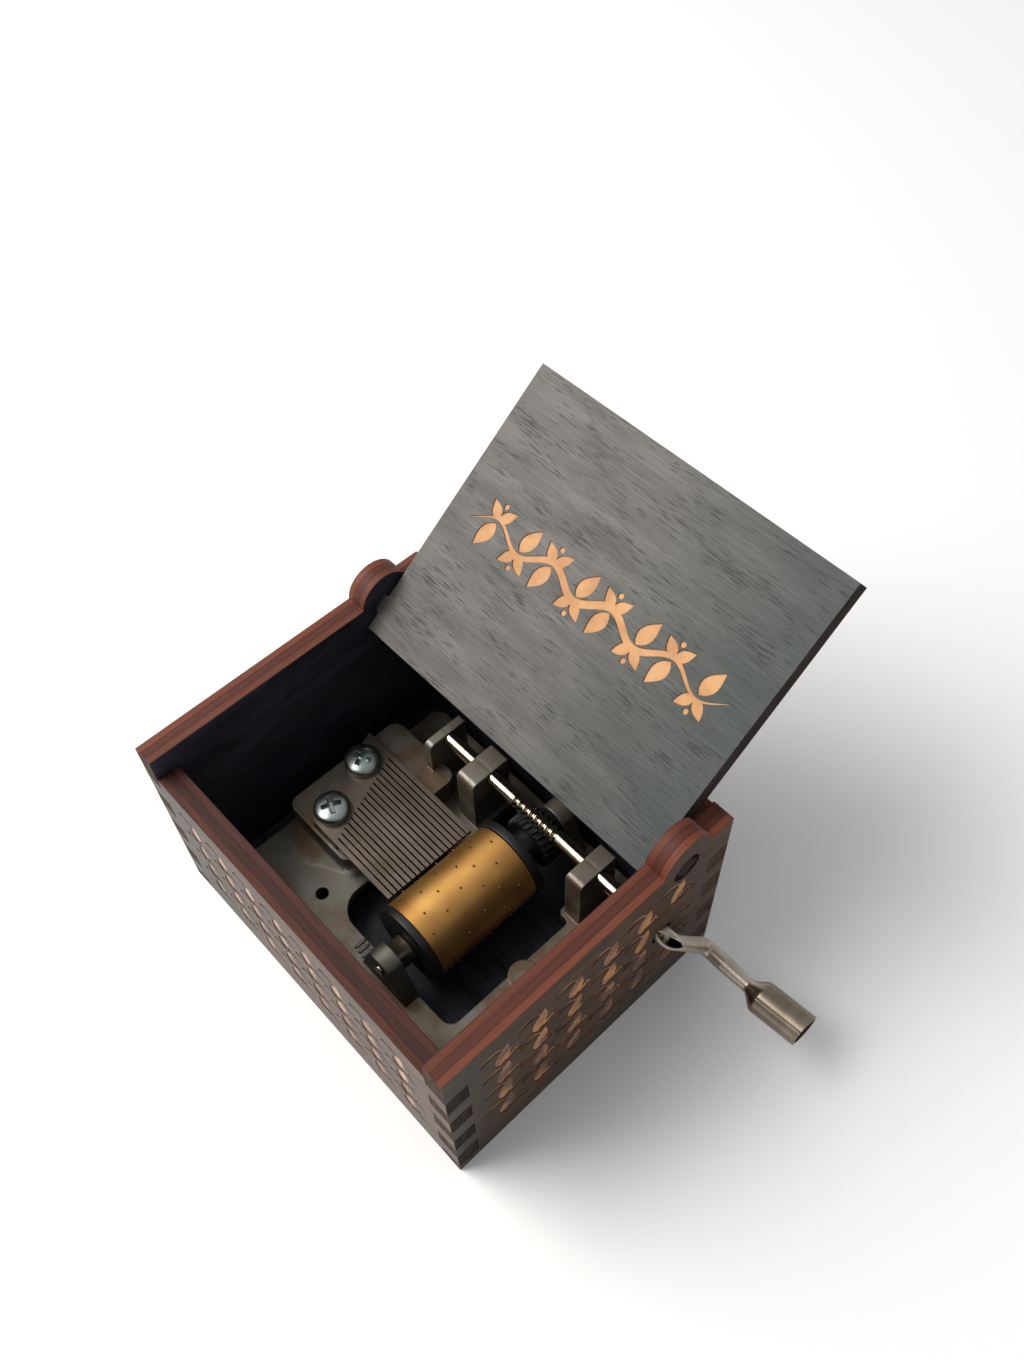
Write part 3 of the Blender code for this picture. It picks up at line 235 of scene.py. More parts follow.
def mark_sides(mesh, matrix, holes):
    """Material slots of a board's faces: 0 outer face, 1 inner face, 2 cut edge, 3 stained end or hole."""
    along, _, outward = (np.array(matrix.col[axis][:3]) for axis in range(3))
    normals, centres = np.empty(3 * len(mesh.polygons)), np.empty(3 * len(mesh.polygons))
    mesh.polygons.foreach_get("normal", normals)
    mesh.polygons.foreach_get("center", centres)
    normals, centres = normals.reshape(-1, 3), centres.reshape(-1, 3)
    facing = normals @ outward
    reach = np.abs(centres @ along)
    at_end = (np.abs(normals @ along) > FACING) & (reach > END_SHARE * reach.max())
    for axis_place, radius in holes:
        at_end |= np.hypot(*(centres - axis_place)[:, 1:].T) < radius
    sides = np.where(facing > FACING, 0, np.where(facing < -FACING, 1, np.where(at_end, 3, 2)))
    mesh.polygons.foreach_set("material_index", sides.astype(np.int32))


def board_matrix(turn, place):
    """Frame of a board: Z out of its outer face, X to the right and Y up as seen from there."""
    return Matrix.Translation(place) @ Euler([math.radians(angle) for angle in turn]).to_matrix().to_4x4()


# Engraved ornament
# A laser has taken the stain off in leaves and tendrils, 0.14 mm deep, on every wall and on the lid.
# Each stroke is cut out of the board, so that its floor shows bare wood and its rim is scorched.
ENGRAVING_DEPTH = 0.14 * MM
TOOL_PROUD = 0.3 * MM
RIM_TONES = ("#3a2418", "#62412b")
STROKE_STEPS = 9
LASER_PASS = (8 * MM, 0.15 * MM, 1 * MM)
# Heights on a wall between which the engraved strokes go from painted shade to a little painted light.
FOOT_SHADE_LOW = 6 * MM
FOOT_SHADE_HIGH = 30 * MM
MOTIF_ACROSS = 6.4 * MM
MOTIF_UP = 6.2 * MM
MOTIF_SHARE = 0.96


def engraved_floor(name, matrix, tones, foot_shade=0.0):
    """Bare wood where the laser has taken the stain off: some strokes paler, ridged along its passes.

    Painted shade darkens the strokes towards a wall's foot, and painted light lifts them a little near its
    top, by the share given.
    """
    made, tree, principled, place = new_material(name, {"Roughness": 0.55}, matrix)
    tone = grain(tree, place, (4 * MM,) * 3, 4.0)
    height = add(tree, "SeparateXYZ", {"Vector": place}).outputs["Y"]
    # Painted shade and light: darker towards the wall's foot, a little lighter towards its top.
    foot_shaded = add(tree, "MapRange", {"Value": height, "From Min": FOOT_SHADE_LOW, "From Max": FOOT_SHADE_HIGH,
                                    "To Min": -foot_shade, "To Max": 0.4 * foot_shade})
    both = add(tree, "Math", {0: tone, 1: foot_shaded.outputs[0]}, {"operation": "ADD"})
    ramp = add(tree, "ValToRGB", {"Fac": both.outputs[0]}, stops=zip((0.4, 0.62), tones))
    passes = grain(tree, place, LASER_PASS, 0.0, 2.0)
    surface(tree, principled, ramp.outputs[0], passes, 0.3, 0.04 * MM)
    return made


def placed(points, base, lean):
    """Points turned by lean, in radians, and moved to base."""
    cosine, sine = math.cos(lean), math.sin(lean)
    return points @ np.array([[cosine, sine], [-sine, cosine]]) + np.array(base)


def leaf(base, length, width, lean, bend=0.0):
    """Leaf outline: half width is width / 2 times the sine of pi t^0.8, its spine bends as t squared."""
    t = np.linspace(0, 1, STROKE_STEPS)
    half = width / 2 * np.sin(np.pi * t ** 0.8)
    spine = bend * t ** 2
    right = np.stack([spine + half, length * t], axis=1)
    left = np.stack([spine - half, length * t], axis=1)[::-1]
    return placed(np.concatenate([right, left[1:-1]]), base, lean)


def ribbon(points, width):
    """Outline along a line of points: half width is width / 2 times the sine of pi t, square to the line."""
    along = np.gradient(points, axis=0)
    across = np.column_stack([-along[:, 1], along[:, 0]]) / np.hypot(*along.T)[:, None]
    half = width / 2 * np.sin(np.pi * np.linspace(0.03, 0.97, len(points)))[:, None]
    return np.concatenate([points - across * half, (points + across * half)[::-1]])


def tendril(base, radius, start, sweep):
    """Line of points on a spiral that closes in: radius times 1 - 0.6 t, from angle start over sweep."""
    t = np.linspace(0, 1, 2 * STROKE_STEPS)
    ring = np.stack([np.cos(start + sweep * t), np.sin(start + sweep * t)], axis=1)
    points = ring * (radius * (1 - 0.6 * t))[:, None]
    return points - points[0] + np.array(base)


def dot(base, radius):
    """Round dot."""
    angle = np.linspace(0, 2 * np.pi, STROKE_STEPS, endpoint=False)
    return radius * np.stack([np.cos(angle), np.sin(angle)], axis=1) + np.array(base)


def engraving_tool(outlines, matrix, rim, floor):
    """Prisms over the outlines: their ends lie proud of the face and at the engraving's depth."""
    points, faces, looks = [], [], []
    for outline in outlines:
        count = len(outline)
        first = sum(len(part) for part in points)
        ring = np.arange(count)
        following = np.roll(ring, -1)
        low = np.column_stack([outline, np.full(count, -ENGRAVING_DEPTH)])
        high = np.column_stack([outline, np.full(count, TOOL_PROUD)])
        points.append(np.concatenate([low, high]))
        sides = first + np.stack([ring, following, following + count, ring + count], axis=1)
        faces += [(first + ring[::-1]).tolist(), (first + count + ring).tolist(), *sides.tolist()]
        looks += [1, 1] + [0] * count
    mesh = bpy.data.meshes.new("engraving_tool")
    mesh.from_pydata(np.concatenate(points), [], faces)
    mesh.polygons.foreach_set("material_index", np.array(looks, np.int32))
    mesh.materials.append(rim)
    mesh.materials.append(floor)
    mesh.transform(matrix)
    return put_in_scene("engraving_tool", mesh)


def engrave(board, tool):
    """Takes the tool out of the board, with the tool's materials on the cut faces."""
    change = board.modifiers.new("Engraving", "BOOLEAN")
    change.operation = "DIFFERENCE"
    change.solver = "EXACT"
    change.material_mode = "TRANSFER"
    change.use_self = True
    change.object = tool
    graph = bpy.context.evaluated_depsgraph_get()
    mesh = bpy.data.meshes.new_from_object(board.evaluated_get(graph))
    board.modifiers.clear()
    board.data = mesh
    bpy.data.objects.remove(tool, do_unlink=True)


def leaf_motif(middle, size):
    """One cell of the wall's pattern: a plump leaf, a small one at its foot and two fine tendrils.

    Every length is a share of the cell's size.
    """
    parts = [leaf((-0.08 * size, -0.5 * size), size, 0.44 * size, -0.14, 0.06 * size),
             leaf((0.06 * size, -0.46 * size), 0.5 * size, 0.18 * size, -0.8),
             ribbon(tendril((0.02 * size, 0.26 * size), 0.46 * size, 0.1, 2.3), 0.15 * size),
             ribbon(tendril((0.34 * size, -0.1 * size), 0.3 * size, 2.6, 2.6), 0.08 * size)]
    return [part + np.array(middle) for part in parts]


def wall_ornament(half_width, low, high, keep_clear=()):
    """Leaf motifs in columns and rows, away from the board's holes."""
    columns = int(2 * half_width / MOTIF_ACROSS) + 1
    rows = round((high - low) / MOTIF_UP)
    pitch = (high - low) / rows
    strokes = []
    for column in range(columns):
        for row in range(rows):
            middle = ((column - (columns - 1) / 2) * MOTIF_ACROSS, low + (row + 0.5) * pitch)
            strokes += leaf_motif(middle, MOTIF_SHARE * pitch)
    return [stroke for stroke in strokes
            if all(np.hypot(*(stroke - centre).T).min() > radius for centre, radius in keep_clear)]


def dress_board(node, matrix, looks, engravings, holes=(), foot_shade=0.0):
    """Copy of a board with its faces and edges, in the CAD board's place.

    Each engraving is a frame whose Z leaves the engraved face, its strokes and its bare wood's tones.
    """
    board = merged_copy(node + "_engraved", node)
    for look in looks:
        board.data.materials.append(look)
    mark_sides(board.data, matrix, holes)
    for number, (face, strokes, floor_tones) in enumerate(engravings):
        rim = engraved_floor(f"{node}_scorched_rim_{number}", face, RIM_TONES)
        floor = engraved_floor(f"{node}_bare_wood_{number}", face, floor_tones, foot_shade)
        engrave(board, engraving_tool(strokes, face, rim, floor))
    seat(board, "lid" if node == "lid" else "box", node)


# Walls
# Four boards with glued finger joints. The side walls hold the lid's pins in round ears, and the front wall
# is lower by the lid's thickness. Its stain and its bare wood are painted lighter and pinker than the other
# walls', a painted sheen of the light on its face, and its cut edge is burnt darker.
def joint_place(name):
    """Place of a joint's axis in the frame."""
    return np.array(next(joint for joint in frame["joints"] if joint["name"] == name)["pos_m"])


PIVOT = joint_place("lid_hinge")
SHAFT = joint_place("crank_turn")
PIVOT_BELOW_TOP = 2.2 * MM
LEFT, FRONT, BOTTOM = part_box("left_wall")[0]
RIGHT, BACK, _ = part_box("right_wall")[1]
FRONT_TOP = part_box("front_wall")[1].z
BACK_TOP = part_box("back_wall")[1].z
SIDE_TOP = PIVOT[2] + PIVOT_BELOW_TOP

ORNAMENT_LOW = 6.5 * MM
ORNAMENT_TOP_INSET = 5 * MM
ORNAMENT_INSET = 7.5 * MM
HOLE_MARGIN = 3 * MM
EAR_BORE = 3.2 * MM
# Share of painted shade on the engraved strokes at a wall's foot.
FOOT_SHADE_SHARE = 0.09
WALL_STAIN = {"tones": ("#432b1a", "#624228"), "pore_tone": "#150e0a", "fibre_tone": "#a2a2a2",
              "cloud": 11 * MM, "far_tone": "#3a3d2f", "far": (-10 * MM, -26 * MM), "sheen": 0.11}
# Painted sheen: the front wall's stain is painted lighter and pinker than the other walls', for the light on
# its face.
FRONT_PAINTED_SHEEN_STAIN = {**WALL_STAIN, "tones": ("#47342a", "#6a4e3d"), "far_tone": "#2f3226", "sheen": 0.26}
INSIDE_STAIN = {"tones": ("#32313e", "#434351"), "pore_tone": "#14141a", "fibre_tone": "#a2a2a2",
                "cloud": 11 * MM}
SIDE_BURNS = ("#dcd4cf", "#ffffff")
FRONT_BURNS = ("#463c37", "#ada19a")
SIDE_END = ("#3a2e27", "#54453a")
FRONT_END = ("#1f1814", "#3a2e26")
BARE_WOOD = ("#613c28", "#c2864c")
# Painted sheen: the front wall's bare wood is painted paler than the other walls', for the light on its
# face.
FRONT_PAINTED_SHEEN_WOOD = ("#8b6f60", "#c4a48e")
SIDE_LOOK = (WALL_STAIN, SIDE_BURNS, SIDE_END, BARE_WOOD)
FRONT_LOOK = (FRONT_PAINTED_SHEEN_STAIN, FRONT_BURNS, FRONT_END, FRONT_PAINTED_SHEEN_WOOD)
WALLS = {
    "front_wall": ((90, 0, 0), (0, FRONT, 0), RIGHT, FRONT_TOP, FRONT_LOOK),
    "back_wall": ((90, 0, 180), (0, BACK, 0), RIGHT, BACK_TOP, SIDE_LOOK),
    "left_wall": ((90, 0, -90), (LEFT, 0, 0), BACK, SIDE_TOP, SIDE_LOOK),
    "right_wall": ((90, 0, 90), (RIGHT, 0, 0), BACK, SIDE_TOP, SIDE_LOOK),
}

bores = [(axis_place, EAR_BORE) for axis_place in (PIVOT, SHAFT)]
for node, (turn, place, half_width, top, (stain, burns, end_tones, bare_wood)) in WALLS.items():
    matrix = board_matrix(turn, place)
    looks = (stained_veneer(node + "_stained_basswood", matrix, **stain),
             stained_veneer(node + "_black_inside", matrix, **INSIDE_STAIN),
             cut_edge(node + "_scorched_ply_edge", matrix, burns),
             stained_end(node + "_stained_finger_end", matrix, end_tones))
    to_board = matrix.inverted()
    holes = [(np.array((to_board @ Vector(hole))[:2]), HOLE_MARGIN) for hole in (PIVOT, SHAFT)
             if node in ("left_wall", "right_wall")]
    strokes = wall_ornament(half_width - ORNAMENT_INSET, ORNAMENT_LOW, top - ORNAMENT_TOP_INSET, holes)
    dress_board(node, matrix, looks, [(matrix, strokes, bare_wood)], bores, FOOT_SHADE_SHARE)


# Floor board
# A plain board of the same ply between the walls, stained brown below and black inside.
# Its counterbored holes take the three screws that hold the casting.
UNDERSIDE_STAIN = {**WALL_STAIN, "cloud": 14 * MM, "far_tone": None}

under = board_matrix((180, 0, 0), (0, 0, BOTTOM))
dress_board("bottom_panel", under,
            (stained_veneer("underside_stained_basswood", under, **UNDERSIDE_STAIN),
             stained_veneer("floor_black_inside", under, **INSIDE_STAIN),
             cut_edge("bottom_scorched_ply_edge", under, SIDE_BURNS),
             stained_end("bottom_stained_end", under, SIDE_END)), [])


# Lid
# A basswood ply board with two tabs as hinge pins, stained grey with a green cast.
# Its inner face carries a running vine in bare wood, and its outer face the walls' leaves.
LID_STAIN = {"tones": ("#605d59", "#797570"), "pore_tone": "#2e302f", "fibre_tone": "#bababa",
             "cloud": 16 * MM, "far_tone": "#3c4948", "far": (-4 * MM, 22 * MM)}
# The lid's tab ends sit in the ears' bores: stained dark, and painted darker still as painted shade of the
# bore.
TAB_STAIN_AND_SHADE_TONES = ("#241b1a", "#3b2f2c")
BAND_FROM_PIVOT = 19.4 * MM
BAND_HALF_LENGTH = 24 * MM
BAND_HALF_HEIGHT = 4.1 * MM
BAND_CRESTS = 8
BAND_WOOD = ("#b9834f", "#cf9a64")
LEAVES_FROM_EDGE = 3 * MM


def broadest_face(node):
    """Upward normal of a CAD node's largest face."""
    mesh = frame["nodes"][node].data
    normals, areas = np.empty(3 * len(mesh.polygons)), np.empty(len(mesh.polygons))
    mesh.polygons.foreach_get("normal", normals)
    mesh.polygons.foreach_get("area", areas)
    normal = normals.reshape(-1, 3)[areas.argmax()]
    return normal * np.sign(normal[2])


def vine_band(half_length, half_height):
    """Running vine: a stem that waves as sine of 2 pi x / pitch, with three leaves at every crest."""
    pitch = 4 * half_length / (BAND_CRESTS + 0.5)
    wave = 0.3 * half_height
    x = np.linspace(-half_length, half_length, 20 * BAND_CRESTS)
    strokes = [ribbon(np.stack([x, wave * np.sin(2 * np.pi * x / pitch)], axis=1), 0.3 * half_height)]
    for number in range(BAND_CRESTS):
        middle = (number - (BAND_CRESTS - 1) / 2) * pitch / 2
        side = np.sign(np.sin(2 * np.pi * middle / pitch))
        upright = 0 if side > 0 else math.pi
        crest = (middle, 0.9 * side * wave)
        strokes += [leaf(crest, 0.8 * half_height, 0.42 * half_height, upright - 0.8),
                    leaf(crest, 0.8 * half_height, 0.42 * half_height, upright + 0.8),
                    leaf((middle, 0.5 * side * wave), 1.15 * half_height, 0.6 * half_height,
                         upright + math.pi - 0.25, 0.1 * half_height),
                    dot((middle, side * 0.82 * half_height), 0.11 * half_height)]
    return strokes


lid_normal = broadest_face("lid")
lid_slope = math.degrees(math.atan2(-lid_normal[1], lid_normal[2]))
lid_inside = board_matrix((lid_slope, 0, 0), PIVOT + lid_normal * PLY / 2)
lid_outside = board_matrix((lid_slope + 180, 0, 0), PIVOT - lid_normal * PLY / 2)
lid_reach = np.hypot(*(np.array(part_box("lid")[1]) - PIVOT)[1:])
band = [stroke + np.array([0, BAND_FROM_PIVOT]) for stroke in vine_band(BAND_HALF_LENGTH, BAND_HALF_HEIGHT)]
outer_leaves = wall_ornament(RIGHT - ORNAMENT_INSET, LEAVES_FROM_EDGE - lid_reach, -ORNAMENT_LOW)
dress_board("lid", lid_inside,
            (stained_veneer("lid_grey_stained_basswood", lid_inside, **LID_STAIN),
             stained_veneer("lid_outer_stained_basswood", lid_inside, **WALL_STAIN),
             cut_edge("lid_scorched_ply_edge", lid_inside, SIDE_BURNS),
             stained_end("lid_stained_and_shaded_tab_end", lid_inside, TAB_STAIN_AND_SHADE_TONES)),
            [(lid_inside, band, BAND_WOOD), (lid_outside, outer_leaves, BARE_WOOD)])


# Bedplate
# One zinc alloy casting carries the whole movement: rough grey skin, paler on its edges, rubbed bare and a
# painted highlight, and painted paler on its uprights' tops as painted light. Its three uprights hold the
# crank shaft, its lugs the barrel's arbor, and three low ribs stand beside the front lug.
SMOOTH_DEGREES = 32.0
FLATS_WEIGHT = 100
ZINC_TONES = ("#6f5c49", "#827e74")
# Pale zinc for the edges, rubbed wear and a painted highlight, and for the uprights' tops, painted light.
EDGE_WEAR_AND_LIT_TOP_ZINC = "#a3a29e"
CAST_PEBBLE = (0.35 * MM,) * 3
CAST_ROUNDING = 0.3 * MM
# The uprights' tops, the casting's highest faces, are painted paler here as painted light.
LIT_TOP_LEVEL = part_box("bedplate")[1].z - 0.1 * MM
LIT_TOP_DEPTH = 0.3 * MM
PLATE_TOP = 9 * MM
RIB_RADIUS = 0.35 * MM
RIB_LENGTH = 2.2 * MM
RIB_SUNK = 0.05 * MM
RIB_PLACES = ((-0.3 * MM, -15.9 * MM), (0.65 * MM, -16.0 * MM), (1.6 * MM, -16.1 * MM))


def uneven_sheen(tree, principled, pattern, low, high):
    """Roughness that follows a pattern between two values."""
    rough = add(tree, "MapRange", {"Value": pattern, "To Min": low, "To Max": high})
    tree.links.new(rough.outputs[0], principled.inputs["Roughness"])


def cast_metal(name):
    """Die-cast zinc: a pebbled skin and cloudy oxide tones. Edges are paler, rubbed bare and a painted
    highlight, and the uprights' tops are painted paler as painted light.

    The pebble is drawn coarser than the real one, so that it shows.
    """
    made, tree, principled, place = new_material(name, {"Metallic": 0.75})
    clouds = grain(tree, place, (7 * MM,) * 3, 4.0)
    ramp = add(tree, "ValToRGB", {"Fac": clouds}, stops=zip((0.4, 0.6), ZINC_TONES))
    worn = add(tree, "Bevel", {"Radius": CAST_ROUNDING}, {"samples": 6}).outputs[0]
    flat = add(tree, "NewGeometry").outputs["Normal"]
    turned = add(tree, "VectorMath", {0: worn, 1: flat}, {"operation": "DOT_PRODUCT"})
    # Edges: rubbed wear and a painted highlight, paler where the rounded normal turns from the flat one.
    edge_wear_and_highlight = add(tree, "MapRange",
                 {"Value": turned.outputs["Value"], "From Min": 0.99, "From Max": 0.85, "To Max": 0.7})
    height = add(tree, "SeparateXYZ", {"Vector": place}).outputs["Z"]
    # Painted light: the uprights' tops are paler.
    ground = add(tree, "MapRange", {"Value": height, "From Min": LIT_TOP_LEVEL - LIT_TOP_DEPTH,
                                    "From Max": LIT_TOP_LEVEL, "To Max": 0.3})
    # The pale share: rubbed wear and a painted highlight on the edges, painted light on the uprights' tops.
    bare = add(tree, "Math", {0: edge_wear_and_highlight.outputs[0], 1: ground.outputs[0]}, {"operation": "MAXIMUM"})
    colour = add(tree, "Mix", {0: bare.outputs[0], 6: ramp.outputs[0], 7: linear(EDGE_WEAR_AND_LIT_TOP_ZINC)}, MIXED)
    pebble = grain(tree, place, CAST_PEBBLE, 2.0, 4.0)
    uneven_sheen(tree, principled, pebble, 0.36, 0.6)
    surface(tree, principled, colour.outputs[2], pebble, 0.35, 0.05 * MM, CAST_ROUNDING)
    return made


def shade_round(mesh):
    """Smooth shading that keeps edges over SMOOTH_DEGREES sharp."""
    mesh.shade_smooth()
    mesh.set_sharp_from_angle(angle=math.radians(SMOOTH_DEGREES))


def keep_flats_flat(piece):
    """Normals weighted by face area, so that small round faces don't bend the light on large flat ones."""
    change = piece.modifiers.new("Flat faces", "WEIGHTED_NORMAL")
    change.weight = FLATS_WEIGHT
    change.keep_sharp = True


def closed_mesh(name, points, faces, merge=True):
    """Object of a closed mesh, its doubles merged where asked and its faces turned outwards."""
    mesh = bpy.data.meshes.new(name)
    mesh.from_pydata(points.reshape(-1, 3), [], faces)
    work = bmesh.new()
    work.from_mesh(mesh)
    if merge:
        bmesh.ops.remove_doubles(work, verts=work.verts, dist=MERGE_DISTANCE)
    bmesh.ops.recalc_face_normals(work, faces=work.faces)
    work.to_mesh(mesh)
    work.free()
    return put_in_scene(name, mesh)


def skin(name, points, wrap_rows=False, capped=False):
    """Surface over a grid of points: rows along a path, columns round it."""
    rows, columns = points.shape[:2]
    index = np.arange(rows * columns).reshape(rows, columns)
    index = np.column_stack([index, index[:, 0]])
    if wrap_rows:
        index = np.vstack([index, index[:1]])
    quads = np.stack([index[:-1, :-1], index[:-1, 1:], index[1:, 1:], index[1:, :-1]], axis=-1)
    faces = quads.reshape(-1, 4).tolist()
    if capped:
        faces += [index[0, :columns].tolist(), index[-1, :columns][::-1].tolist()]
    made = closed_mesh(name, points, faces)
    shade_round(made.data)
    return made


def low_rib(name, middle, top):
    """Half-round rib along Y: its radius is the fourth root of 1 - t^4, t running over its length."""
    t = np.linspace(-1, 1, 17)[:, None]
    angle = np.linspace(0, np.pi, 13)
    radius = RIB_RADIUS * (1 - t ** 4) ** 0.25
    places = np.broadcast_arrays(middle[0] + radius * np.cos(angle), middle[1] + RIB_LENGTH / 2 * t,
                                 top - RIB_SUNK + radius * np.sin(angle))
    return skin(name, np.stack(places, axis=-1))


zinc = cast_metal("die_cast_zinc")
casting = merged_copy("bedplate_casting", "bedplate")
shade_round(casting.data)
keep_flats_flat(casting)
seat(casting, "box", "bedplate", zinc)
for number, middle in enumerate(RIB_PLACES):
    seat(low_rib(f"bedplate_rib_{number}", middle, PLATE_TOP), "box", look=zinc)


# Comb
# Eighteen teeth sawn and ground from one hardened steel plate, tempered to a brown-grey.
# The grinding runs along the teeth, so it draws fine lines across the comb's top.
COMB_TONES = ("#60564c", "#736860")
COMB_LINE = (9 * MM, 0.12 * MM, 1 * MM)


def ground_steel(name, tones, line_size, roughness, edge):
    """Ground or drawn steel: fine lines in one direction and a faint uneven temper colour.

    The lines are drawn coarser than real ones, so that they show.
    """
    made, tree, principled, place = new_material(name, {"Metallic": 1.0})
    temper = grain(tree, place, (5 * MM,) * 3, 2.0)
    lines = grain(tree, place, line_size, 1.0, 6.0)
    ramp = add(tree, "ValToRGB", {"Fac": temper}, stops=zip((0.35, 0.65), tones))
    uneven_sheen(tree, principled, lines, roughness - 0.08, roughness + 0.12)
    surface(tree, principled, ramp.outputs[0], lines, 0.25, 0.01 * MM, edge)
    return made


comb_mesh = frame["nodes"]["comb"].data
comb_mesh.materials.clear()
comb_mesh.materials.append(ground_steel("ground_tempered_comb_steel", COMB_TONES, COMB_LINE, 0.4, 0.05 * MM))


# Screws
# Zinc-plated pan head screws with a cross recess: two clamp the comb, three hold the casting from below.
# Heads are cold formed, so their rims and crowns are round; the shanks carry rolled threads.
PLATED_TONES = ("#98a39e", "#b1b9b4")
SCREW_SIDES = 64
HEAD_RADIUS = 2.85 * MM
HEAD_HEIGHT = 1.9 * MM
HEAD_CROWN = 0.58
RIM_ROUNDING = 0.06 * MM
SHANK_RADIUS = 1.25 * MM
PLAIN_SHANK = 0.2 * MM
TIP_LENGTH = 0.5 * MM
THREAD_PITCH = 0.5 * MM
THREAD_DEPTH = 0.12 * MM
THREAD_ROWS = 8
RECESS_REACH = 1.75 * MM
RECESS_WIDTH = 0.95 * MM
RECESS_DEPTH = 1.1 * MM
RECESS_ABOVE = 0.4 * MM
RECESS_FLARE = 1.15
RECESS_TAPER = 0.5
SCREW_TURNS = {"comb_screw_1": 0.35, "comb_screw_2": 1.15,
               "base_screw_1": 0.2, "base_screw_2": 0.9, "base_screw_3": 1.3}


def softened(corners, cut, steps=5):
    """Profile whose inner corners are quadratic Bezier curves between points cut back from them."""
    corners = np.array(corners, float)
    t = np.linspace(0, 1, steps)[:, None]
    before, after = corners[:-2] - corners[1:-1], corners[2:] - corners[1:-1]
    reach = [np.minimum(cut, 0.45 * np.hypot(*side.T))[:, None] for side in (before, after)]
    start = corners[1:-1] + before / np.hypot(*before.T)[:, None] * reach[0]
    end = corners[1:-1] + after / np.hypot(*after.T)[:, None] * reach[1]
    curves = [(1 - t) ** 2 * a + 2 * t * (1 - t) * b + t ** 2 * c
              for a, b, c in zip(start, corners[1:-1], end)]
    return np.concatenate([corners[:1], *curves, corners[-1:]])


def revolve(profile, origin, axis, sides):
    """Points of a turned surface: origin + height along the axis + radius round it."""
    axis = np.array(axis, float)
    helper = np.array([0, 0, 1.0]) if abs(axis[2]) < 0.5 else np.array([1.0, 0, 0])
    first = np.cross(axis, helper)
    second = np.cross(axis, first)
    angle = np.linspace(0, 2 * np.pi, sides, endpoint=False)
    ring = np.cos(angle)[:, None] * first + np.sin(angle)[:, None] * second
    profile = np.array(profile, float)
    return np.array(origin) + profile[:, 1, None, None] * axis + profile[:, 0, None, None] * ring


def cross_recess(top, axis, turn):
    """Tapered cross: a plus-shaped outline that narrows towards its floor."""
    half, reach = RECESS_WIDTH / 2, RECESS_REACH
    quarter = np.array([(reach, -half), (reach, half), (half, half)])
    plus = np.concatenate([placed(quarter, (0, 0), turn + side * math.pi / 2) for side in range(4)])
    rows = [np.array(top) + np.column_stack([plus * share, np.full(len(plus), height * axis)])
            for height, share in ((RECESS_ABOVE, RECESS_FLARE), (-RECESS_DEPTH, RECESS_TAPER))]
    return skin("recess_tool", np.stack(rows), capped=True)


def pan_screw(node, turn):
    """Pan head screw along Z in a CAD screw's place; a head under the shank makes it point up.

    The crown's radius goes as a sine and its height as cosine^0.8 of one angle, and the thread's
    depth as a sine of the height over the pitch plus the angle round the shank.
    """
    low, high = (np.array(corner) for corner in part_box(node))
    up = 1 if node.startswith("comb") else -1
    top = high[2] if up > 0 else low[2]
    length = high[2] - low[2] - HEAD_HEIGHT
    centre = np.array([(low[0] + high[0]) / 2, (low[1] + high[1]) / 2, top - up * HEAD_HEIGHT])
    crown = np.linspace(0, np.pi / 2, 14)
    dome = np.column_stack([HEAD_RADIUS * np.sin(crown),
                            HEAD_HEIGHT * (1 - HEAD_CROWN + HEAD_CROWN * np.cos(crown) ** 0.8)])
    neck = np.array([(HEAD_RADIUS, RIM_ROUNDING), (HEAD_RADIUS - RIM_ROUNDING, 0), (SHANK_RADIUS, 0)])
    down = np.linspace(0, 1, int(length / THREAD_PITCH * THREAD_ROWS))
    shank = np.column_stack([np.full(len(down), SHANK_RADIUS),
                             -PLAIN_SHANK - (length - PLAIN_SHANK - TIP_LENGTH) * down])
    tip = np.array([(SHANK_RADIUS / 2, -length), (0, -length)])
    points = revolve(np.concatenate([dome, neck, shank, tip]), centre, (0, 0, up), SCREW_SIDES)
    angle = np.linspace(0, 2 * np.pi, SCREW_SIDES, endpoint=False)
    rows = slice(len(dome) + len(neck), -len(tip))
    depth = THREAD_DEPTH * (0.5 + 0.5 * np.sin(2 * np.pi * shank[:, 1, None] / THREAD_PITCH + angle))
    inward = points[rows] - centre
    inward[..., 2] = 0
    points[rows] -= inward / SHANK_RADIUS * depth[..., None]
    screw = skin(node + "_pan_head", points)
    engrave(screw, cross_recess((centre[0], centre[1], top), up, turn))
    shade_round(screw.data)
    return screw


plated = ground_steel("bright_zinc_plated_steel", PLATED_TONES, (1.5 * MM,) * 3, 0.3, 0.08 * MM)
for node, turn in SCREW_TURNS.items():
    screw = pan_screw(node, turn)
    screw.data.materials.clear()
    seat(screw, "box", node, plated)


# Barrel
# A thin brass tube, polished, with steel pins pushed through it in the pattern of a tune.
# Each pin stands 0.3 mm proud and its end is rounded.
BRASS_TONES = ("#c99252", "#dba961")
LATHE_LINE = (4 * MM, 0.1 * MM, 4 * MM)
PIN_TONES = ("#5c5650", "#736b62")
BARREL_SIDES = 160
BARREL_RADIUS = 6.35 * MM
BARREL_WALL = 0.6 * MM
PIN_RADIUS = 0.16 * MM
PIN_HEIGHT = 0.3 * MM
PIN_SUNK = 0.1 * MM
PIN_SIDES = 10
PIN_COUNT = 66
PIN_STEP_SHARE = 0.3819
COMB_TEETH = 18

arbor_axis = joint_place("barrel_turn")
barrel_front, barrel_back = (corner.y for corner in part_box("barrel"))
barrel_middle = np.array([arbor_axis[0], (barrel_front + barrel_back) / 2, arbor_axis[2]])
half_barrel = (barrel_back - barrel_front) / 2
inner_radius = BARREL_RADIUS - BARREL_WALL


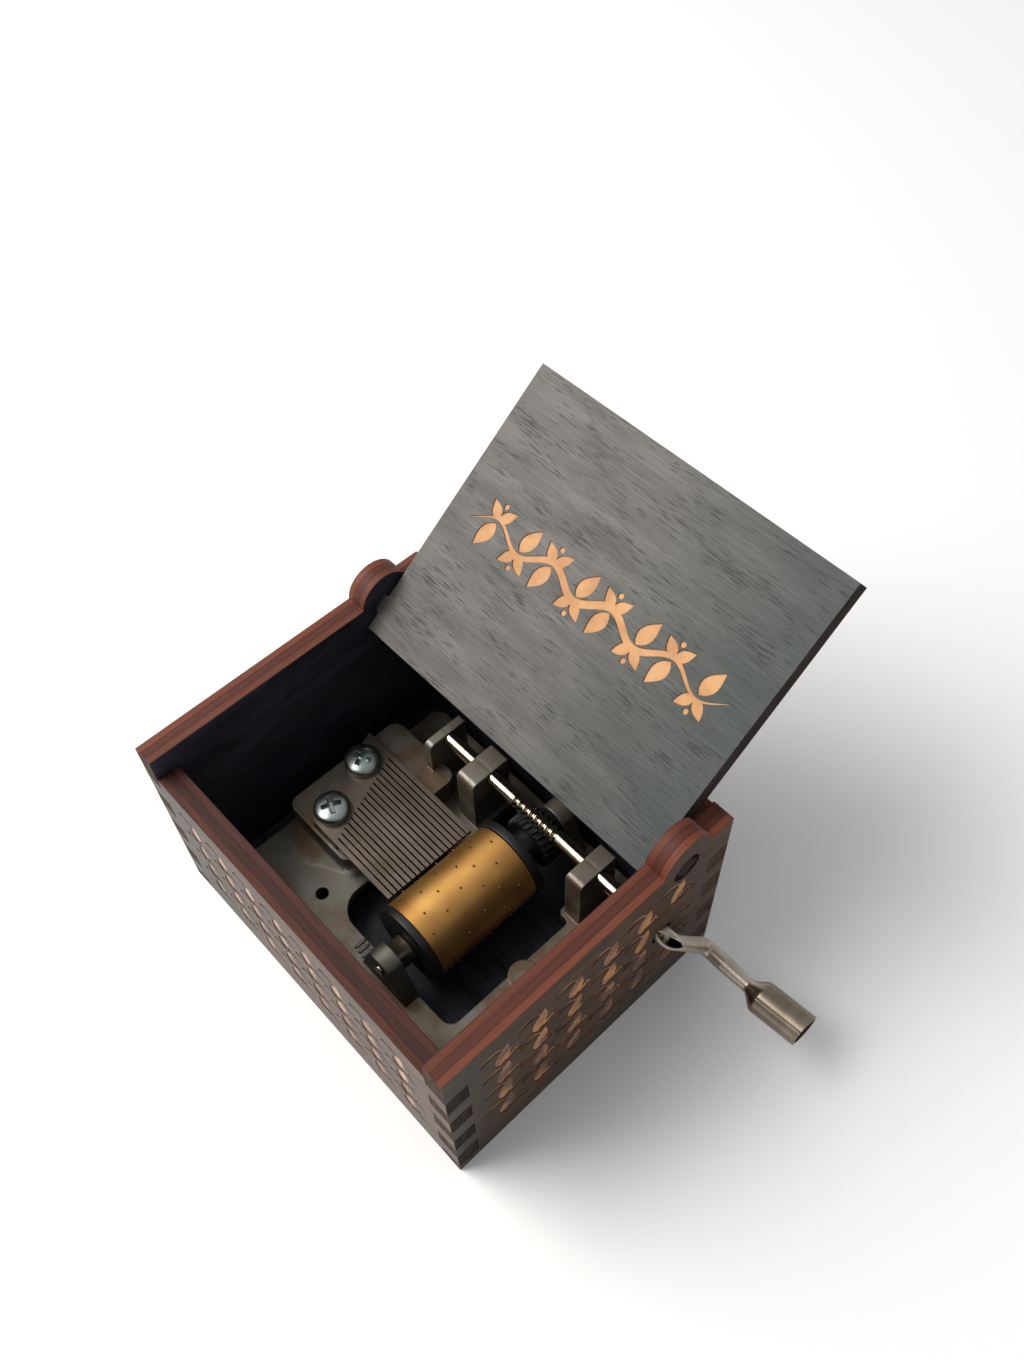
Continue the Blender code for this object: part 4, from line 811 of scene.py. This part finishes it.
def polished_brass(name):
    """Polished brass: clear gold tone, faint lathe lines round the barrel, a little tarnish.

    The lines are drawn coarser than real ones, so that they show.
    """
    made, tree, principled, place = new_material(name, {"Metallic": 1.0})
    tarnish = grain(tree, place, (6 * MM,) * 3, 2.0)
    ramp = add(tree, "ValToRGB", {"Fac": tarnish}, stops=zip((0.35, 0.65), BRASS_TONES))
    lathe = grain(tree, place, LATHE_LINE, 1.0, 9.0)
    uneven_sheen(tree, principled, lathe, 0.38, 0.5)
    surface(tree, principled, ramp.outputs[0], lathe, 0.2, 0.01 * MM, 0.05 * MM)
    return made


def tune_pins(name):
    """Domed pins: pin k stands at 2 pi k / count round the barrel, over the tooth its rule names.

    The rule is the whole part of k times PIN_STEP_SHARE times the teeth, counted round the teeth.
    """
    number = np.arange(PIN_COUNT)
    level = np.zeros(PIN_COUNT)
    comb_low, comb_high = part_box("comb")
    pitch = (comb_high.y - comb_low.y) / COMB_TEETH
    tooth = (number * PIN_STEP_SHARE * COMB_TEETH).astype(int) % COMB_TEETH
    along = comb_low.y + (tooth + 0.5) * pitch
    angle = 2 * np.pi * number / PIN_COUNT
    outward = np.column_stack([np.cos(angle), level, -np.sin(angle)])[:, None, None]
    round_way = np.column_stack([np.sin(angle), level, np.cos(angle)])[:, None, None]
    base = np.column_stack([level + arbor_axis[0], along, level + arbor_axis[2]])[:, None, None]
    width, height = np.array([(1, -PIN_SUNK), (1, 0.6 * PIN_HEIGHT), (0.75, 0.9 * PIN_HEIGHT),
                              (0.01, PIN_HEIGHT)]).T[..., None, None]
    side = np.linspace(0, 2 * np.pi, PIN_SIDES, endpoint=False)
    circle = np.cos(side)[:, None] * round_way + np.sin(side)[:, None] * np.array([0, 1, 0])
    grid = base + outward * (BARREL_RADIUS + height) + PIN_RADIUS * width * circle
    index = np.arange(grid[..., 0].size).reshape(grid.shape[:3])
    following = np.roll(index, -1, axis=2)
    quads = np.stack([index[:, :-1], following[:, :-1], following[:, 1:], index[:, 1:]], axis=-1)
    ends = [*index[:, 0].tolist(), *index[:, -1, ::-1].tolist()]
    made = closed_mesh(name, grid, quads.reshape(-1, 4).tolist() + ends, merge=False)
    made.data.shade_smooth()
    return made


tube_profile = [(inner_radius, -half_barrel), (BARREL_RADIUS, -half_barrel),
                (BARREL_RADIUS, half_barrel), (inner_radius, half_barrel)]
tube = skin("barrel_tube", revolve(tube_profile, barrel_middle, (0, 1, 0), BARREL_SIDES), wrap_rows=True)
seat(tube, "barrel", "barrel", polished_brass("polished_brass"))
pin_steel = ground_steel("hard_pin_steel", PIN_TONES, (1 * MM,) * 3, 0.35, 0.03 * MM)
seat(tune_pins("tune_pins"), "barrel", look=pin_steel)


# Barrel ends
# Black nylon mouldings plug the tube: a plain cap in front, and behind it a flange with hub and gear.
# The helical gear's 24 teeth lean with the worm's thread that drives them.
NYLON_TONE = "#0e0e10"
MOULD_PEBBLE = (0.3 * MM,) * 3
MOULDED_SIDES = 128
CAP_PROUD = 0.1 * MM
CAP_ROUNDING = 0.25 * MM
FLANGE_GAP = 0.15 * MM
FLANGE_WIDTH = 1.4 * MM
FLANGE_PROUD = 0.25 * MM
FLANGE_ROUNDING = 0.2 * MM
HUB_RADIUS = 2.6 * MM
ARBOR_RADIUS = 0.9 * MM
GEAR_TEETH = 24
GEAR_WIDTH = 4.0 * MM
WORM_PITCH = 1.14 * MM
WORM_TOOTH = 0.23 * MM
WORM_RADIUS = 1.0 * MM
MESH_GAP = 0.15 * MM
FLANK_STEEPNESS = 1.9


def moulded_nylon(name):
    """Black nylon: satin skin with a faint pebble from the mould, drawn coarser so that it shows."""
    made, tree, principled, place = new_material(name, {"Base Color": linear(NYLON_TONE), "IOR": 1.53})
    pebble = grain(tree, place, MOULD_PEBBLE, 2.0)
    uneven_sheen(tree, principled, pebble, 0.4, 0.55)
    surface(tree, principled, None, pebble, 0.2, 0.02 * MM, 0.1 * MM)
    return made


def turned_along_y(name, profile, cut, look, node, sides=MOULDED_SIDES):
    """Ring or disc of the barrel's body, turned about the arbor from radius and place along Y."""
    origin = (arbor_axis[0], 0, arbor_axis[2])
    made = skin(name, revolve(softened(profile, cut), origin, (0, 1, 0), sides))
    seat(made, "barrel", node, look)


def gear_teeth(name):
    """Helical gear about the arbor: radius is the pitch radius plus the tooth height times a cosine.

    The cosine has 24 waves a turn and is steepened and cut off at 1 and -1. Each ring of teeth is
    turned by its place along Y, as the lead of the worm's thread asks.
    """
    pitch_radius = GEAR_TEETH * WORM_PITCH / (2 * math.pi)
    around = np.linspace(0, 2 * np.pi, GEAR_TEETH * 16, endpoint=False)
    along = np.linspace(-GEAR_WIDTH / 2, GEAR_WIDTH / 2, 13)[:, None]
    flank = np.clip(FLANK_STEEPNESS * np.cos(GEAR_TEETH * around), -1, 1)
    radius = pitch_radius - MESH_GAP + WORM_TOOTH * flank
    angle = around + along / pitch_radius * WORM_PITCH / (2 * math.pi * WORM_RADIUS)
    places = np.broadcast_arrays(arbor_axis[0] + radius * np.sin(angle), SHAFT[1] + along,
                                 arbor_axis[2] + radius * np.cos(angle))
    return skin(name, np.stack(places, axis=-1), capped=True)


nylon = moulded_nylon("black_moulded_nylon")
cap_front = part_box("barrel_cap")[0].y
cap_radius = BARREL_RADIUS + CAP_PROUD
turned_along_y("barrel_cap_moulding",
               [(ARBOR_RADIUS, cap_front), (cap_radius, cap_front), (cap_radius, barrel_front),
                (inner_radius, barrel_front), (ARBOR_RADIUS, barrel_front)],
               CAP_ROUNDING, nylon, "barrel_cap")
flange_front = barrel_back + FLANGE_GAP
flange_back = flange_front + FLANGE_WIDTH
flange_radius = BARREL_RADIUS + FLANGE_PROUD
drive_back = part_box("drive_gear")[1].y
turned_along_y("drive_gear_moulding",
               [(ARBOR_RADIUS, flange_front), (flange_radius, flange_front), (flange_radius, flange_back),
                (HUB_RADIUS, flange_back), (HUB_RADIUS, drive_back), (ARBOR_RADIUS, drive_back)],
               FLANGE_ROUNDING, nylon, "drive_gear")
seat(gear_teeth("drive_gear_teeth"), "barrel", look=nylon)


# Arbor
# A drawn steel pin that runs through cap, barrel and gear, with its ends just outside the lugs.
# Drawing leaves it bright, with the faintest lines.
BRIGHT_TONES = ("#b9ae98", "#d6cab2")
DRAWN_LINE = (0.2 * MM, 3 * MM, 0.2 * MM)
ARBOR_ROUNDING = 0.15 * MM

bright = ground_steel("bright_drawn_steel", BRIGHT_TONES, DRAWN_LINE, 0.18, 0.05 * MM)
arbor_front, arbor_back = (corner.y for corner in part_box("arbor"))
turned_along_y("arbor_pin", [(0, arbor_front), (ARBOR_RADIUS, arbor_front), (ARBOR_RADIUS, arbor_back),
                             (0, arbor_back)], ARBOR_ROUNDING, bright, "arbor", sides=48)


# Crank shaft
# One bright steel rod in the three uprights, with a right-hand worm rolled into it over the gear.
# Its end is turned down for the crank's sleeve, and a collar inside the wall keeps it in place.
SHAFT_SIDES = 48
SHAFT_RADIUS = 1.15 * MM
SHAFT_END_RADIUS = 0.9 * MM
SHAFT_CHAMFER = 0.15 * MM
STEP_LENGTH = 0.1 * MM
WORM_LENGTH = 8.8 * MM
WORM_ROWS = 20
SLEEVE_DEPTH = 2.8 * MM
COLLAR_RADIUS = 2.4 * MM
COLLAR_GAP = 0.1 * MM
COLLAR_ROUNDING = 0.3 * MM


def worm_shaft(name):
    """Rod of circles along X, whose radius falls over the worm by a cosine of the thread's phase.

    The phase is 2 pi times the place over the pitch, less the angle round the rod.
    """
    low, high = (corner.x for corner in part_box("crank_shaft"))
    worm_low, worm_high = SHAFT[0] - WORM_LENGTH / 2, SHAFT[0] + WORM_LENGTH / 2
    step_at = RIGHT - SLEEVE_DEPTH - STEP_LENGTH
    left = np.array([(0, low), (SHAFT_RADIUS - SHAFT_CHAMFER, low), (SHAFT_RADIUS, low + SHAFT_CHAMFER),
                     (SHAFT_RADIUS, worm_low - WORM_TOOTH)])
    right = np.array([(SHAFT_RADIUS, worm_high + WORM_TOOTH), (SHAFT_RADIUS, step_at - STEP_LENGTH),
                      (SHAFT_END_RADIUS, step_at), (SHAFT_END_RADIUS, high), (0, high)])
    worm_x = np.linspace(worm_low, worm_high, int(WORM_LENGTH / WORM_PITCH * WORM_ROWS))
    worm = np.column_stack([np.full(len(worm_x), WORM_RADIUS), worm_x])
    rows = np.concatenate([left, worm, right])
    side = np.linspace(0, 2 * np.pi, SHAFT_SIDES, endpoint=False)
    radius = np.broadcast_to(rows[:, :1], (len(rows), SHAFT_SIDES)).copy()
    phase = 2 * np.pi * (worm_x[:, None] - SHAFT[0]) / WORM_PITCH - (side + np.pi / 2)
    radius[len(left):-len(right)] -= WORM_TOOTH * np.cos(phase)
    places = np.broadcast_arrays(rows[:, 1:], SHAFT[1] + radius * np.cos(side),
                                 SHAFT[2] + radius * np.sin(side))
    return skin(name, np.stack(places, axis=-1))


seat(worm_shaft("crank_shaft_rod"), "crank", "crank_shaft", bright)
collar_left, collar_right = (corner.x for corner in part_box("shaft_collar"))
collar_bore = SHAFT_RADIUS + COLLAR_GAP
collar_profile = softened([(collar_bore, collar_left), (COLLAR_RADIUS, collar_left),
                           (COLLAR_RADIUS, collar_right), (collar_bore, collar_right)], COLLAR_ROUNDING)
collar = skin("shaft_collar_ring", revolve(collar_profile, (0, SHAFT[1], SHAFT[2]), (1, 0, 0), 64),
              wrap_rows=True)
seat(collar, "crank", "shaft_collar", bright)


# Crank
# One strip of nickel-plated sheet is rolled into a tube: sleeve, bent arm, neck and a flared grip.
# Its edges meet in a seam on the outside of the first bend, where they part and leave an eye.
NICKEL_TONES = ("#b0a497", "#c2b6a9")
# Painted shade: the grip's darker, browner tones.
GRIP_SHADE_TONES = ("#7d7162", "#938779")
CRANK_REST = math.radians(-55.5)
CRANK_THROW = 12 * MM
CRANK_SHEET = 0.45 * MM
CRANK_WALL_GAP = 0.2 * MM
SLEEVE_RADIUS = 1.45 * MM
ARM_RADIUS = 1.25 * MM
NECK_RADIUS = 1.3 * MM
WAIST_RADIUS = 1.1 * MM
GRIP_RADIUS = 2.6 * MM
FIRST_BEND = 1.6 * MM
SECOND_BEND = 1.8 * MM
BEND = math.radians(82)
NECK_LENGTH = 6.7 * MM
FLARE_LENGTH = 2.7 * MM
GRIP_LENGTH = 7.3 * MM
GRIP_TILT = math.radians(4.4)
ARM_SEAM = math.radians(3)
GRIP_SEAM = math.radians(9)
EYE = math.radians(100)
EYE_LEAD = 0.8 * MM
EYE_RUN = 1.6 * MM
CRANK_ROWS = 240
CRANK_COLUMNS = 64


def crank_path():
    """Rolled tube: the path's heading rises and falls over two bends, and places are its running sum."""
    rise = CRANK_THROW - (FIRST_BEND + SECOND_BEND) * (1 - math.cos(BEND))
    arm = rise / math.sin(BEND)
    lengths = np.array([SLEEVE_DEPTH, FIRST_BEND * BEND, arm, SECOND_BEND * BEND, NECK_LENGTH,
                        FLARE_LENGTH, GRIP_LENGTH])
    ends = np.concatenate([[0], np.cumsum(lengths)])
    fine = np.linspace(0, ends[-1], 20 * CRANK_ROWS)
    heading = np.interp(fine, ends, [0, 0, BEND, BEND, 0, 0, 0, 0])
    step = fine[1] - fine[0]
    x = RIGHT + CRANK_WALL_GAP - SLEEVE_DEPTH + np.concatenate([[0], np.cumsum(np.cos(heading[:-1])) * step])
    out = np.concatenate([[0], np.cumsum(np.sin(heading[:-1])) * step])
    flare = np.clip((fine - ends[5]) / FLARE_LENGTH, 0, 1)
    swell = (1 - np.cos(np.pi * flare)) / 2
    base = np.interp(fine, [ends[1], ends[2], ends[4], ends[4] + NECK_LENGTH / 3, ends[5]],
                     [SLEEVE_RADIUS, ARM_RADIUS, ARM_RADIUS, NECK_RADIUS, WAIST_RADIUS])
    tube_radius = base + (GRIP_RADIUS - WAIST_RADIUS) * swell
    share = np.clip((fine - ends[1] + EYE_LEAD) / (EYE_LEAD + lengths[1] + EYE_RUN), 0, 1)
    seam = ARM_SEAM + (GRIP_SEAM - ARM_SEAM) * swell + EYE * np.sin(np.pi * share)
    lift = np.maximum(fine - ends[6], 0) * math.tan(GRIP_TILT)
    keep = np.linspace(0, len(fine) - 1, CRANK_ROWS).astype(int)
    x, out, heading, tube_radius, seam, lift = (v[keep] for v in (x, out, heading, tube_radius, seam, lift))
    return strip_points(x, out, heading, tube_radius, seam, lift)


def strip_points(x, out, heading, tube_radius, seam, lift):
    """Closed section of the rolled strip: outer arc, round edge, inner arc, round edge."""
    turn = np.linspace(0, 1, CRANK_COLUMNS)
    arc_angle = np.pi - seam[:, None] / 2 - (2 * np.pi - seam[:, None]) * turn
    edge = np.linspace(0, np.pi, 13)[1:-1]
    outer = np.broadcast_to(tube_radius[:, None], arc_angle.shape)
    inner = outer - CRANK_SHEET
    middle = (outer[:, :1] + inner[:, :1]) / 2
    edge_radius = middle + CRANK_SHEET / 2 * np.cos(edge)
    reach = CRANK_SHEET / 2 * np.sin(edge) / middle
    angle = np.concatenate([arc_angle, arc_angle[:, -1:] - reach, arc_angle[:, ::-1],
                            arc_angle[:, :1] + reach[:, ::-1]], axis=1)
    ring = np.concatenate([outer, edge_radius, inner, edge_radius[:, ::-1]], axis=1)
    across = ring * np.cos(angle)
    up = ring * np.sin(angle) + lift[:, None]
    local_x = x[:, None] - across * np.sin(heading)[:, None]
    local_out = out[:, None] + across * np.cos(heading)[:, None]
    cosine, sine = math.cos(CRANK_REST), math.sin(CRANK_REST)
    return np.stack([local_x, SHAFT[1] + cosine * local_out - sine * up,
                     SHAFT[2] + sine * local_out + cosine * up], axis=-1)


def nickel_with_shaded_grip(name, shade_from, shade_to):
    """Nickel plate: warm silver with a faint cloud, painted darker and browner over the grip as painted
    shade.
    """
    made, tree, principled, place = new_material(name, {"Metallic": 1.0})
    cloud = grain(tree, place, (3 * MM,) * 3, 2.0)
    plate, grip_shade = (add(tree, "ValToRGB", {"Fac": cloud}, stops=zip((0.35, 0.65), tones))
                   for tones in (NICKEL_TONES, GRIP_SHADE_TONES))
    along = add(tree, "SeparateXYZ", {"Vector": place}).outputs["X"]
    # Painted shade: the grip darkens over the flare up to the grip's start.
    share = add(tree, "MapRange", {"Value": along, "From Min": shade_from, "From Max": shade_to})
    colour = add(tree, "Mix", {0: share.outputs[0], 6: plate.outputs[0], 7: grip_shade.outputs[0]}, MIXED)
    uneven_sheen(tree, principled, cloud, 0.24, 0.4)
    surface(tree, principled, colour.outputs[2], cloud, 0.1, 0.01 * MM, 0.03 * MM)
    return made


grip_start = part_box("crank")[1].x - GRIP_LENGTH
nickel = nickel_with_shaded_grip("nickel_plated_sheet", grip_start - FLARE_LENGTH, grip_start)
crank = skin("crank_rolled_sheet", crank_path(), capped=True)
seat(crank, "crank", "crank", nickel)


# Studio
# A pale paper floor, one large soft light from the front left and above, and a backdrop that dims
# to the right. The camera stands where the photograph was taken from, looking down on the open box.
FLOOR_SIDE = 4.0
FLOOR_BELOW = 0.05 * MM
LIGHT_PLACE = (-0.37, -0.3, 0.56)
LIGHT_TARGET = (0, 0, 0.03)
LIGHT_SIDE = 0.55
LIGHT_WATTS = 6.2
LIGHT_TINT = (1.0, 0.96, 0.92)
BACKDROP_TONE = "#f2f4f6"
BACKDROP_LEFT = 0.74
BACKDROP_RIGHT = 0.34
CAMERA_PLACE = (71.644 * MM, -46.466 * MM, 182.837 * MM)
CAMERA_RIGHT = (0.68291553, 0.73007751, -0.02476286)
CAMERA_DOWN = (0.5902145, -0.57142728, -0.57019094)
CAMERA_FORWARD = (-0.43043376, 0.37477685, -0.8211389)
FOCAL_PIXELS = 1245.7
IMAGE_HEIGHT = 1360

floor_mesh = bpy.data.meshes.new("pale_floor")
half_floor = FLOOR_SIDE / 2
floor_mesh.from_pydata([(-half_floor, -half_floor, 0), (half_floor, -half_floor, 0),
                        (half_floor, half_floor, 0), (-half_floor, half_floor, 0)], [], [(0, 1, 2, 3)])
paper = {"Base Color": linear("#fafafa"), "Roughness": 0.9}
floor_mesh.materials.append(new_material("pale_paper_floor", paper)[0])
floor = put_in_scene("pale_floor", floor_mesh)
floor.location.z = BOTTOM - FLOOR_BELOW

lamp = bpy.data.lights.new("window_light", "AREA")
lamp.size = LIGHT_SIDE
lamp.energy = LIGHT_WATTS
lamp.color = LIGHT_TINT
window = put_in_scene("window_light", lamp)
window.location = LIGHT_PLACE
window.rotation_euler = (Vector(LIGHT_TARGET) - Vector(LIGHT_PLACE)).to_track_quat("-Z", "Y").to_euler()

world = bpy.data.worlds.new("soft_studio")
bpy.context.scene.world = world
world.use_nodes = True
backdrop = world.node_tree.nodes["Background"]
backdrop.inputs["Color"].default_value = linear(BACKDROP_TONE)
sky = add(world.node_tree, "TexCoord").outputs["Generated"]
sideways = add(world.node_tree, "SeparateXYZ", {"Vector": sky}).outputs["X"]
dimming = add(world.node_tree, "MapRange", {"Value": sideways, "From Min": -0.8, "From Max": 0.8,
                                            "To Min": BACKDROP_LEFT, "To Max": BACKDROP_RIGHT})
world.node_tree.links.new(dimming.outputs[0], backdrop.inputs["Strength"])
bpy.context.scene.view_settings.view_transform = "Standard"

lens = bpy.data.cameras.new("photograph_angle")
lens.sensor_fit = "AUTO"
lens.sensor_width = 36.0
lens.lens = FOCAL_PIXELS / IMAGE_HEIGHT * lens.sensor_width
lens.clip_start = 0.001
camera = put_in_scene("photograph_angle", lens)
axes = Matrix((CAMERA_RIGHT, [-v for v in CAMERA_DOWN], [-v for v in CAMERA_FORWARD])).transposed()
camera.matrix_world = Matrix.Translation(CAMERA_PLACE) @ axes.to_4x4()
bpy.context.scene.camera = camera
